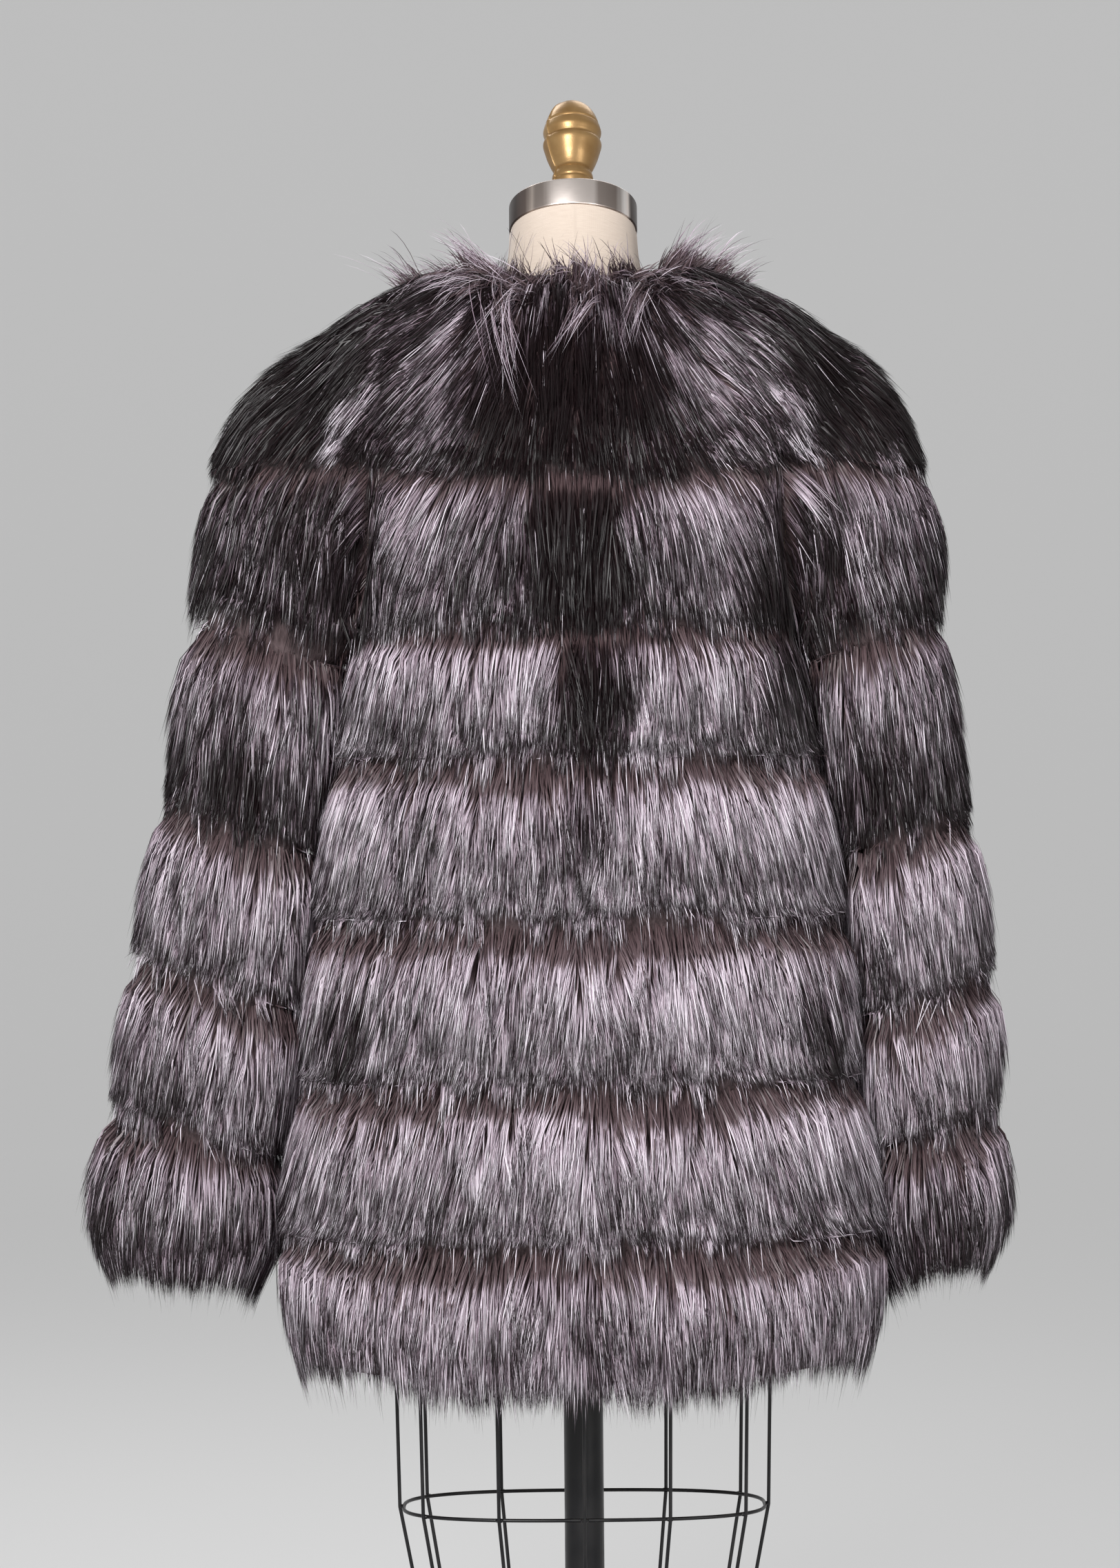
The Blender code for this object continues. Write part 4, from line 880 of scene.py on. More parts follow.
PAST_END_DIP = 0.26           # the same for a tip past its tier's end
LONG_HAIR_RISE, UNDERFUR_RISE = 0.10, 0.22
YOKE_HAIR_WIDTH = 0.85        # share of the usual width
MOST_TWIST = math.radians(60)
BROWN_END = 0.27              # on the map, where the hair's brown root ends
UNDERFUR_END = 0.20           # and where short hair's tip lies on it
TONE_STRAY = 0.024            # how far off a lock reads its tone
# The brightest silver of a tier: its gain in tone, how far below the band, and half its height.
BRIGHT_GAIN, BRIGHT_BELOW_BAND, BRIGHT_HALF_HEIGHT = 0.16, 0.024, 0.022
LOCK_TONE, OWN_TONE = 0.28, 0.42  # how far locks, and hairs, differ in tone
LONG_HAIR_TONES = (0.92, 0.06)  # pale or black
FLOW_STEP = 0.006             # over which the wall's tangents are taken
YOKE_FAN = 0.95               # how far out the yoke's hair runs for each unit down, by the arms
SHOULDER_MARK = 2.0           # down to here hair lies over all the pieces' reach, past their seams
LEAST_FACING = 0.6            # cosine of the most that the surface may turn along one part of it
GAP_CLOSING = 0.0130          # hair that fills the gap between the body's sides and the sleeves
EDGE_ROUNDING = 0.075         # radius over which hair bends where it runs past a piece's edge
# For each tier: the height of the brown band at its top, how deep that is tucked under the last
# tier, how full the hair lies as a share of the fur's reach, its own tone, and how much darker
# it gets towards its lower end.
Lay = namedtuple("Lay", "bands tucks fills tones fadings")
BODY_LAY = Lay(
    bands=(0.000, 0.006, 0.018, 0.034, 0.042, 0.040, 0.042),
    tucks=(0.00, 0.02, 0.05, 0.07, 0.07, 0.07, 0.07),
    fills=(0.80, 0.92, 0.96, 0.96, 0.96, 0.96, 0.96),
    tones=(0.12, 0.42, 0.61, 0.58, 0.60, 0.61, 0.51),
    fadings=(0.00, 0.14, 0.18, 0.12, 0.10, 0.10, 0.06))
SLEEVE_LAY = Lay(
    bands=(0.000, 0.006, 0.026, 0.030, 0.034, 0.038),
    tucks=(-0.10, 0.00, 0.03, 0.04, 0.04, 0.04),
    fills=(1.00, 0.98, 0.96, 0.96, 0.98, 1.12),
    tones=(0.08, 0.16, 0.42, 0.55, 0.56, 0.36),
    fadings=(0.00, 0.04, 0.34, 0.14, 0.14, 0.10))


def lay_roots(wall, count, rng):
    """Marks and columns spread evenly over a wall's area, and each one's local scale.

    A cell of the grid is drawn in proportion to its area, then a place inside it.  The scale
    is metres to a mark and metres to a column, averaged over the tier.
    """
    grid = wall.reach[:-1]
    across = grid[:, 1:] - grid[:, :-1]
    down = grid[1:] - grid[:-1]
    area = np.linalg.norm(np.cross(across[:-1], down[:, :-1]), axis=-1)
    area += np.linalg.norm(np.cross(across[1:], down[:, 1:]), axis=-1)
    chosen = rng.choice(area.size, size=count, p=(area / area.sum()).ravel())
    row, first = np.unravel_index(chosen, area.shape)
    marks = wall.marks
    mark = marks[row] + rng.random(count) * (marks[row + 1] - marks[row])
    column = first + rng.random(count)
    tier = np.floor(mark + 1e-9).astype(int)
    tiers = int(round(marks[-2]))
    steps = np.linalg.norm(down, axis=-1)
    metres = np.zeros((tiers, steps.shape[1]))
    widths = np.zeros(tiers)
    middles = 0.5 * (marks[:-2] + marks[1:-1])
    for number in range(tiers):
        rows = np.flatnonzero((middles >= number) & (middles < number + 1))
        spread = marks[rows[-1] + 1] - marks[rows[0]]
        metres[number] = steps[rows].sum(axis=0) / spread
        widths[number] = np.linalg.norm(across[rows[len(rows) // 2]], axis=-1).mean()
    per_mark = metres[tier, np.clip(np.round(column).astype(int), 0, steps.shape[1] - 1)]
    return mark, column, np.maximum(per_mark, 0.05), widths[tier]


def locks(mark, column, per_column, rng):
    """For each root, its distance from its lock's middle, along and across, and its lock.

    Locks are cells of a brick pattern warped by slow waves.  Each has its own middle, from 0.2
    to 0.8 of the cell, and four more values that its hairs share.
    """
    along = mark * USUAL_TIER / LOCK_LENGTH + 0.35 * np.sin(column * 0.9)
    brick = np.floor(along).astype(int)
    across = column * per_column / LOCK_WIDTH + 0.5 * (brick % 2) + 0.4 * np.sin(mark * 17.0)
    place = np.floor(across).astype(int)
    table = rng.random((*LOCK_TABLE, 6))
    lock = table[brick % LOCK_TABLE[0], place % LOCK_TABLE[1]]
    off_along = (along - brick - 0.2 - 0.6 * lock[:, 0]) * LOCK_LENGTH
    off_across = (across - place - 0.2 - 0.6 * lock[:, 1]) * LOCK_WIDTH
    return off_along, off_across, lock[:, 2:]


def wanted_way(place, mark, side):
    """The way hair wants to lie: straight down with a small fan, and out from the neck above."""
    x = place[:, 0]
    away = np.abs(x)
    straight_from = 1.80 if side == 0.0 else 1.30
    outwards = smoothstep(0.02, 0.17, away) * fall(0.55, straight_from, mark)
    fan = np.where(side == 0.0, 0.8 * away, 0.14) + YOKE_FAN * outwards
    return unit(np.stack([fan * np.sign(x), np.zeros(len(x)), -np.ones(len(x))], axis=-1))


def flow(wall, mark, column, per_mark, per_column, side):
    """Shares of a metre walked along the marks and the columns for a metre of hair.

    The wanted way is set against the wall's two tangents by least squares.
    """
    here = read_wall(wall, mark, column)[1]
    down = (read_wall(wall, mark + FLOW_STEP / per_mark, column)[1] - here) / FLOW_STEP
    onward = (read_wall(wall, mark, column + FLOW_STEP / per_column)[1] - here) / FLOW_STEP
    wanted = wanted_way(here, mark, side)
    dd, oo, do = ((a * b).sum(axis=1) for a, b in ((down, down), (onward, onward), (down, onward)))
    wd, wo = (wanted * down).sum(axis=1), (wanted * onward).sum(axis=1)
    det = np.maximum(dd * oo - do * do, 1e-6)
    a, b = (wd * oo - wo * do) / det, (wo * dd - wd * do) / det
    size = np.linalg.norm(a[:, None] * down + b[:, None] * onward, axis=1)
    a, b = a / np.maximum(size, 0.2), b / np.maximum(size, 0.2)
    return np.clip(a, 0.2, 2.0), np.clip(b, -2.0, 2.0)


def all_walls_surface(walls):
    """The reach of every piece's hair as one surface, to lay hair across their seams."""
    points, faces, count = [], [], 0
    for wall in walls:
        rows, columns = wall.reach.shape[:2]
        points.append(wall.reach.reshape(-1, 3))
        faces.append(grid_quads(rows, columns) + count)
        count += rows * columns
    return BVHTree.FromPolygons(np.concatenate(points).tolist(), np.concatenate(faces).tolist())


def nearest(surface, points, outward):
    """The surface's nearest place to each point, and its normal on the outward side."""
    found = [surface.find_nearest(point)[:2] for point in points.tolist()]
    places = np.array([list(place) for place, _ in found])
    normals = np.array([list(normal) for _, normal in found])
    facing = np.sign((normals * outward).sum(axis=1, keepdims=True))
    return places, normals * np.where(facing == 0, 1.0, facing)


def kept_facing(found, before):
    """The normals found, or the ones before where the surface turns away in a seam's step."""
    steep = (found * before).sum(axis=1, keepdims=True) < LEAST_FACING
    return np.where(steep, before, found)


def laid_over(surface, start, outward, mark, side, length, aside):
    """Spine places and normals of hair that starts at each place and lies along the surface.

    Each part of a hair goes the wanted way, turned into the surface where it starts, and is
    then put back on the surface.  aside gives how far each spine point stands off sideways.
    """
    place, found = nearest(surface, start, outward)
    normal = kept_facing(found, outward)
    places, normals = [place], [normal]
    for k in range(1, len(SPINE_SHARES)):
        way = wanted_way(place, mark, side)
        way = unit(way - (way * normal).sum(axis=1, keepdims=True) * normal)
        part = length * (SPINE_SHARES[k] - SPINE_SHARES[k - 1])
        off = (aside[:, k] - aside[:, k - 1])[:, None] * np.cross(normal, way)
        place, found = nearest(surface, place + part[:, None] * way + off, normal)
        normal = kept_facing(found, normal)
        places.append(place)
        normals.append(normal)
    return np.stack(places, axis=1), np.stack(normals, axis=1)


def ribbons(name, spine, outward, width, twist, places, finish):
    """Flat ribbons along spines that taper to the last point, the tip.

    A ribbon's two sides stand half its width off the spine, square to it and turned about it
    by the twist.
    """
    count, length = spine.shape[:2]
    along = unit(np.diff(spine, axis=1))
    across = unit(np.cross(along, outward))
    lifted = np.cross(across, along)
    twist = twist[:, None, None]
    across = across * np.cos(twist) + lifted * np.sin(twist)
    share = np.interp(np.linspace(0, 1, length)[:-1], HAIR_WIDTH_PLACES, HAIR_WIDTHS)
    half = 0.5 * width[:, None, None] * share[None, :, None] * across
    sides = np.stack([spine[:, :-1] - half, spine[:, :-1] + half], axis=2)
    points = np.concatenate([sides.reshape(count, 2 * length - 2, 3), spine[:, -1:]], axis=1)
    start = (2 * length - 1) * np.arange(count)[:, None]
    quads = np.concatenate([start + 2 * k + [0, 2, 3, 1] for k in range(length - 2)])
    tips = start + 2 * length - 4 + [0, 2, 1]
    made = put_mesh(name, points.reshape(-1, 3), [quads, tips], [finish],
                    {"OFBake": places.reshape(-1, 2)})
    return made


def hair_places(along, tone, spread):
    """Places on the hair map: along the hair at each spine point, and its tone either side."""
    parts = along.shape[1] - 1
    along = np.concatenate([np.repeat(along[:, :parts], 2, axis=1), along[:, parts:]], axis=1)
    sides = np.append(np.tile([-1, 1], parts), 0)
    return np.stack([0.004 + 0.992 * along,
                     tone[:, None] + spread[:, None] * sides[None, :]], axis=-1)


class Hairs:
    """Every hair on a wall, as whole arrays: its root, its lock and its own chances.

    The phase is the share of the tier that lies above the root, and the band is the height of
    the brown band there.  Fine hair is a single hair; short hair is underfur.
    """

    def __init__(self, wall, count, seed, lay, side, first, last):
        rng = np.random.default_rng(seed)
        roots = lay_roots(wall, count, rng)
        keep = (roots[1] >= first) & (roots[1] < last)
        mark, column, per_mark, per_column = (values[keep] for values in roots)
        self.wall, self.lay, self.side = wall, lay, side
        self.mark, self.column = mark, column
        self.per_mark, self.per_column = per_mark, per_column
        self.chance = rng.random((7, len(mark)))
        self.off_along, self.off_across, self.lock = locks(mark, column, per_column, rng)
        self.tier = np.floor(mark + 1e-9).astype(int)
        self.last = self.tier == len(lay.bands) - 1
        self.phase = mark - self.tier
        self.below_seam = self.phase * per_mark
        self.place = read_wall(wall, mark, column)[1]
        self.from_middle = np.abs(self.place[:, 0])
        self.band = self.band_height()
        in_band = fall(0.4 * self.band, self.band + 0.004, self.below_seam)
        short_share = UNDERFUR_SHARE + (BAND_UNDERFUR_SHARE - UNDERFUR_SHARE) * in_band
        self.long = self.chance[0] < LONG_HAIR_SHARE
        self.short = self.chance[0] > 1.0 - short_share
        self.fine = (self.chance[1] < SINGLE_HAIR_SHARE) | self.long
        self.by_armhole = self.armhole_share()
        self.length, self.grown = self.lengths()

    def of_tier(self, values):
        """Each hair's own value from one for each tier."""
        return np.array(values)[self.tier]

    def band_height(self):
        """The tier's own, times slow waves, the lock's share and less where the fur is dark."""
        waves = np.sin(26 * self.place[:, 0] + 5.0 * self.tier)
        band = self.of_tier(self.lay.bands) * (1.0 + 0.30 * waves)
        band = band * (0.70 + 0.60 * self.lock[:, 1])
        silvery = tone_at(self.place, self.of_tier(self.lay.tones))
        return band * np.clip(0.3 + 1.5 * silvery, 0.15, 1.0)

    def armhole_share(self):
        """1 beside an armhole's seam, 0 away from it."""
        from_edge = np.minimum(self.column, self.wall.skin.shape[1] - 1 - self.column)
        share = fall(*ARMHOLE_ZONE, from_edge * self.per_column)
        share = share * smoothstep(0.3, 0.7, self.mark)
        share = share * fall(1.9, 2.0, self.mark)
        return share * (self.from_middle > ARMHOLE_FROM_MIDDLE)

    def lengths(self):
        """Each hair's length, and which hairs have room to grow.

        Length = the usual length times the lock's and its own shares, but not past the tier's
        end and its overhang, which is more for some locks than for others.
        """
        chance, last = self.chance, self.last
        length = HAIR_LENGTH * (0.82 + 0.26 * self.lock[:, 0] + 0.14 * chance[2])
        length = np.where(self.long, length * LONG_HAIR_GAIN, length)
        low = np.where(last, END_OVERHANG[0], TIER_OVERHANG[0])
        high = np.where(last, END_OVERHANG[1], TIER_OVERHANG[1])
        ragged = np.where(last, chance[3], (0.7 * self.lock[:, 1] + 0.3 * chance[3]) ** 1.5)
        overhang = (low + (high - low) * ragged
                    + 0.003 * np.sin(41 * self.place[:, 0] + 3.0 * self.tier))
        overhang = np.where(
            self.long, overhang + np.where(last, LONG_END_OVERHANG, LONG_OVERHANG), overhang)
        rounded = CUFF_ROUNDING
        if self.side == 0.0:
            rounded = HEM_ROUNDING * smoothstep(0.13, 0.20, self.from_middle)
        rounded = rounded * fall(-0.06, 0.04, self.place[:, 1])
        overhang = overhang - rounded * last
        room = (1.0 - self.phase) * self.per_mark + overhang
        length = np.minimum(length, np.maximum(room, 1e-4))
        short_length = UNDERFUR_LENGTH + UNDERFUR_MORE_LENGTH * chance[2]
        return (np.where(self.short, np.minimum(length, short_length), length),
                room > SHORTEST_HAIR)

    def lie(self):
        """Marks and columns along each hair, and how far each spine point stands off sideways.

        A hair walks along the wall's flow, leans as its lock does, and closes up on its lock's
        middle by a power of the share along it.
        """
        share = SPINE_SHARES[None, :]
        pull = LOCK_PULL * np.where(self.last, 0.25, 1.0) * np.where(self.long, 0.2, 1.0)
        pull = pull * np.minimum(1.0, self.length / HAIR_LENGTH)
        pull = pull[:, None] * share ** 1.4
        lean = (LOCK_LEAN * (self.lock[:, 2] - 0.5) + OWN_LEAN * (self.chance[4] - 0.5))
        parting = PARTING * np.tanh(self.place[:, 0] / 0.010) * smoothstep(3.6, 4.4, self.mark)
        parting = parting * fall(0.02, 0.07, self.from_middle)
        aside = ((lean + parting)[:, None] * self.length[:, None] * share
                 - pull * self.off_across[:, None])
        marks, columns = self.mark[:, None], self.column[:, None]
        for k in range(1, len(SPINE_SHARES)):
            down, across = flow(self.wall, marks[:, -1], columns[:, -1], self.per_mark,
                                self.per_column, self.side)
            part = self.length * (SPINE_SHARES[k] - SPINE_SHARES[k - 1])
            walk = down * part - 0.5 * (pull[:, k] - pull[:, k - 1]) * self.off_along
            marks = np.column_stack([marks, marks[:, -1] + walk / self.per_mark])
            walk = across * part + aside[:, k] - aside[:, k - 1]
            columns = np.column_stack([columns, columns[:, -1] + walk / self.per_column])
        return marks, columns, aside

    def depths(self):
        """Each spine point's depth: from the root's to the tip's along a quarter sine."""
        tier, side, lock, chance = self.tier, self.side, self.lock, self.chance
        from_top = np.where((tier == 0) & (side != 0.0), 0.0, self.below_seam)
        tuck = self.of_tier(self.lay.tucks)
        tuck = tuck * fall(0.3 * self.band, self.band + 0.012, from_top)
        root = ROOT_DEPTH - tuck - np.where(side == 0.0, 0.0, ARMHOLE_DIP) * self.by_armhole
        past_end = smoothstep(-0.03, 0.03, self.length - (1.0 - self.phase) * self.per_mark)
        fill = self.of_tier(self.lay.fills)
        low_yoke = np.maximum(smoothstep(0.55, 1.0, self.mark),
                              smoothstep(0.11, 0.17, self.from_middle))
        fill = fill + (LOW_YOKE_FILL - fill) * (tier == 0) * low_yoke
        tip = fill + 0.12 * (lock[:, 3] - 0.5) + 0.14 * (chance[5] - 0.5)
        tip = (tip - PAST_END_DIP * past_end
               + np.where(side == 0.0, ARMHOLE_DIP, -ARMHOLE_DIP) * self.by_armhole)
        tip = np.where(self.long, tip + LONG_HAIR_RISE, tip)
        tip = np.where(self.short, root + UNDERFUR_RISE, tip)
        rise = np.sin(0.5 * math.pi * np.minimum(1.0, SPINE_SHARES[None, :] * 1.25))
        return root[:, None] + (tip - root)[:, None] * rise

    def spines(self, marks, columns, aside, surface):
        """Spine points and the fur's outward way at each.

        Point = leather + depth x (reach - leather), bent down past a piece's edge.  On the
        shoulders the hair lies on the surface instead, as deep in it.
        """
        depth = self.depths()
        skin, reach = read_wall(self.wall, marks, columns)
        normal = unit(reach - skin)
        past = np.maximum(np.maximum(columns - (self.wall.skin.shape[1] - 1), -columns), 0.0)
        drop = (past * self.per_column[:, None]) ** 2 / (2.0 * EDGE_ROUNDING)
        spine = skin + depth[..., None] * (reach - skin) - drop[..., None] * normal
        high = self.mark < SHOULDER_MARK
        laid, facing = laid_over(surface, reach[high, 0], normal[high, 0], self.mark[high],
                                 self.side, self.length[high], aside[high])
        fur_reach = np.linalg.norm(reach[high, :1] - skin[high, :1], axis=-1)
        laid = laid + ((depth[high] - 1.0) * fur_reach)[..., None] * facing
        spine[high, 1:] = laid[:, 1:]
        normal[high, 1:] = facing[:, 1:]
        return spine, normal

    def tones(self, spine, marks):
        """How silver each hair is: the coat's tone where its tip shows, and its own share.

        The silver is brightest just below the brown band and fades towards the tier's end.
        """
        phase = marks[:, 2] - self.tier
        below = phase * self.per_mark
        strayed = TONE_STRAY * (self.lock[:, :3] - 0.5) * [1.0, 0.0, 1.0]
        tone = tone_at(spine[:, 2] + strayed, self.of_tier(self.lay.tones))
        from_bright = (below - self.band - BRIGHT_BELOW_BAND) / BRIGHT_HALF_HEIGHT
        tone = tone + BRIGHT_GAIN * np.exp(-from_bright ** 2) * (self.tier > 0)
        tone = tone - self.of_tier(self.lay.fadings) * smoothstep(0.50, 0.98, phase)
        tone = (tone + LOCK_TONE * (self.lock[:, 0] - 0.5)
                + OWN_TONE * (self.chance[6] - 0.5))
        pale = self.chance[5] < np.clip(0.2 + 0.7 * tone, 0.04, 0.60)
        tone = np.where(self.long, np.where(pale, *LONG_HAIR_TONES), tone)
        return np.clip(tone, 0.03, 0.97)

    def map_shares(self, tone):
        """How far along the map each spine point lies: brown as far as the band reaches."""
        share = SPINE_SHARES[None, :]
        least_brown = 0.04 + 0.14 * smoothstep(0.05, 0.30, tone)
        brown = np.clip((self.band - self.below_seam) / self.length, least_brown, 0.75)[:, None]
        brown = np.where(self.by_armhole[:, None] > 0.1, 0.04, brown)
        along = np.where(share < brown, share / brown * BROWN_END,
                         BROWN_END + (share - brown) / (1.0 - brown) * (1 - BROWN_END))
        return np.where(self.short[:, None], share * UNDERFUR_END, along)

    def widths(self):
        """A lock's or a single hair's width, times a share of its own."""
        width = (np.where(self.fine, SINGLE_HAIR_WIDTH, LOCK_HAIR_WIDTH)
                 * (0.75 + 0.5 * self.chance[2]))
        width = width * np.where(self.last, 1.0 - 0.4 * smoothstep(0.4, 0.8, self.phase), 1.0)
        return width * np.where(self.tier == 0, YOKE_HAIR_WIDTH, 1.0)


def grow_hair(name, wall, count, seed, lay, side, surface, first, last):
    """Ribbons of hair over a wall, from its first to its last column.

    Each spine starts in the underfur, rises towards the fur's reach and lies down along the
    tier; its tip closes up with its lock's.  On the shoulders it lies over the surface.
    """
    hairs = Hairs(wall, count, seed, lay, side, first, last)
    marks, columns, aside = hairs.lie()
    spine, normal = hairs.spines(marks, columns, aside, surface)
    tone = hairs.tones(spine, marks)
    places = hair_places(hairs.map_shares(tone), tone, np.where(hairs.fine, 0.008, 0.024))
    twist = MOST_TWIST * (2.0 * hairs.chance[3] - 1.0)
    grown = hairs.grown
    return ribbons(name, spine[grown], normal[grown, :2], hairs.widths()[grown], twist[grown],
                   places[grown], guard_hair)


# ------------------------------------------------------------------ loose hair at the neck
NECK_FLUFF_DEPTH = 0.26       # how far down from the neck's edge it grows, in tiers
NECK_TUFT_SPREAD = 0.9        # of a tuft's roots, in columns
NECK_SHARES = np.linspace(0.0, 1.0, 6)  # along a hair, from root to tip
NECK_FINE_SHARE = 0.30        # of the hairs; the others are short and brown
NECK_FINE_WIDTH, NECK_SHORT_WIDTH = 0.0006, 0.0010
# Least length, and how much more the longest has.
NECK_FINE_LENGTH, NECK_FINE_MORE = 0.036, 0.044
NECK_SHORT_LENGTH, NECK_SHORT_MORE = 0.020, 0.018
Tuft = namedtuple("Tuft", "share up out length droop")
TUFTS = (Tuft(0.34, 0.95, 0.60, 1.05, 0.20), Tuft(0.62, 0.45, 1.00, 0.90, 0.40),
         Tuft(1.00, 0.35, 1.00, 1.20, 1.05))  # standing, spreading, hanging over


def grow_neck_fluff(name, wall, count, tufts, seed):
    """Tufts of loose hair round the neck's edge that stand up and out, then bend over.

    Spine = root + way x length x share, bent towards the ground by the share's square.
    """
    rng = np.random.default_rng(seed)
    last = wall.skin.shape[1] - 1
    own = rng.integers(0, tufts, count)
    manner = rng.random((tufts, 6))
    kind = np.searchsorted([tuft.share for tuft in TUFTS[:-1]], manner[:, 0])
    up, out, size, droop = (np.array([getattr(tuft, field) for tuft in TUFTS])[kind][own]
                            for field in ("up", "out", "length", "droop"))
    chance = rng.random((7, count))
    mark = np.clip(NECK_FLUFF_DEPTH * manner[own, 1] ** 1.4 + 0.07 * (chance[0] - 0.5), 0.0, 1.0)
    middle = last * (np.arange(tufts) + manner[:, 2])[own] / tufts
    spread = NECK_TUFT_SPREAD * rng.normal(size=count)
    column = np.clip(middle + spread, 0.0, last)
    skin, reach = read_wall(wall, mark, column)
    radial = unit(reach * [1.0, 1.0, 0.0])
    tangent = np.stack([-radial[:, 1], radial[:, 0], np.zeros(count)], axis=-1)
    upright = np.array([0.0, 0.0, 1.0])
    fine = chance[1] < NECK_FINE_SHARE
    aside = 1.7 * (manner[own, 3] - 0.5) + 0.45 * (chance[2] - 0.5) - 0.16 * spread
    way = unit((up + 0.5 * (chance[3] - 0.5))[:, None] * upright
               + (out + 0.5 * (chance[4] - 0.5))[:, None] * radial + aside[:, None] * tangent)
    length = np.where(fine, NECK_FINE_LENGTH + NECK_FINE_MORE * chance[5] ** 1.5,
                      NECK_SHORT_LENGTH + NECK_SHORT_MORE * chance[5])
    length = length * size * (0.85 + 0.3 * manner[own, 4])
    root = skin + (0.35 + 0.35 * chance[6])[:, None] * (reach - skin)
    share = NECK_SHARES[None, :, None]
    fall = np.array([0.0, 0.0, -1.0]) + 0.35 * radial
    fall = fall + (1.2 * (manner[own, 5] - 0.5) - 0.20 * spread)[:, None] * tangent
    bend = (droop * (0.7 + 0.6 * manner[own, 5]))[:, None, None] * share ** 2
    spine = root[:, None] + length[:, None, None] * (
        share * way[:, None] + bend * (fall - 0.6 * way)[:, None])
    tone = np.where(fine, 0.46 + 0.36 * (chance[2] > 0.60), 0.46) + 0.2 * (chance[4] - 0.5)
    along = np.where(fine[:, None], NECK_SHARES[None, :] * 0.56 + 0.10,
                     NECK_SHARES[None, :] * 0.20 + 0.07)
    width = np.where(fine, NECK_FINE_WIDTH, NECK_SHORT_WIDTH) * (0.8 + 0.4 * chance[3])
    outward = unit(radial + 0.5 * upright)[:, None]
    return ribbons(name, spine, outward, width, MOST_TWIST * (2.0 * chance[5] - 1.0),
                   hair_places(along, tone, np.where(fine, 0.004, 0.02)), guard_hair)


# ------------------------------------------------------------------ materials
class Paint:
    """A Principled material and the nodes that feed it.  Most methods return a socket."""

    def __init__(self, name, colour, roughness, **sockets):
        self.material = bpy.data.materials.new(name)
        self.material.use_nodes = True
        self.material.diffuse_color = (*colour, 1.0)
        self.tree = self.material.node_tree
        self.shader = self.tree.nodes["Principled BSDF"]
        self.shader.inputs["Base Color"].default_value = (*colour, 1.0)
        self.shader.inputs["Roughness"].default_value = roughness
        for socket, value in sockets.items():
            self.shader.inputs[socket.replace("_", " ")].default_value = value

    def node(self, kind, **inputs):
        """A node whose named inputs are set to a value or linked to a socket."""
        made = self.tree.nodes.new(kind)
        for name, value in inputs.items():
            self.feed(made.inputs[name.replace("_", " ")], value)
        return made

    def feed(self, socket, value):
        """Links a socket to another one, or sets it to a value."""
        if isinstance(value, bpy.types.NodeSocket):
            self.tree.links.new(value, socket)
        else:
            socket.default_value = value

    def paint(self, **sockets):
        """Links the shader's named inputs to sockets."""
        for name, value in sockets.items():
            self.feed(self.shader.inputs[name.replace("_", " ")], value)

    def maths(self, operation, *values):
        """One operation on values or sockets."""
        made = self.tree.nodes.new("ShaderNodeMath")
        made.operation = operation
        for socket, value in zip(made.inputs, values):
            self.feed(socket, value)
        return made.outputs["Value"]

    def ramp(self, factor, *stops):
        """A colour ramp through (place, colour) stops, read at the factor."""
        made = self.node("ShaderNodeValToRGB", Fac=factor)
        elements = made.color_ramp.elements
        while len(elements) < len(stops):
            elements.new(0.5)
        for element, (place, colour) in zip(elements, stops):
            element.position = place
            element.color = (*colour, 1.0)
        return made.outputs["Color"]

    def blend(self, factor, first, second):
        """First + factor x (second - first), for colours."""
        made = self.tree.nodes.new("ShaderNodeMix")
        made.data_type = "RGBA"
        for name, value in (("Factor", factor), ("A", first), ("B", second)):
            self.feed(made.inputs[name], value)
        return made.outputs["Result"]

    def between(self, value, low, high, start=0.0, end=1.0):
        """The value read between low and high as a share from start to end."""
        return self.node("ShaderNodeMapRange", Value=value, From_Min=low, From_Max=high,
                         To_Min=start, To_Max=end).outputs["Result"]

    def noise(self, place, scale, detail=3.0, stretch=None):
        """Noise at a place, which may be stretched by a share along each axis."""
        if stretch is not None:
            place = self.node("ShaderNodeMapping", Vector=place, Scale=stretch).outputs["Vector"]
        return self.node("ShaderNodeTexNoise", Vector=place, Scale=scale,
                         Detail=detail).outputs["Fac"]

    def add_scaled(self, value, other, middle, scale):
        """The value plus the other's distance from its middle, times the scale."""
        return self.maths("MULTIPLY_ADD", self.maths("SUBTRACT", other, middle), scale, value)

    def raised(self, height, strength, distance):
        """Lights the finish as if it stood out by the height."""
        self.paint(Normal=self.node("ShaderNodeBump", Height=height, Strength=strength,
                                    Distance=distance).outputs["Normal"])

    def object_place(self):
        return self.tree.nodes.new("ShaderNodeTexCoord").outputs["Object"]

    def map_place(self, layer):
        made = self.tree.nodes.new("ShaderNodeUVMap")
        made.uv_map = layer
        return made.outputs["UV"]

    def split(self, vector):
        return self.node("ShaderNodeSeparateXYZ", Vector=vector).outputs


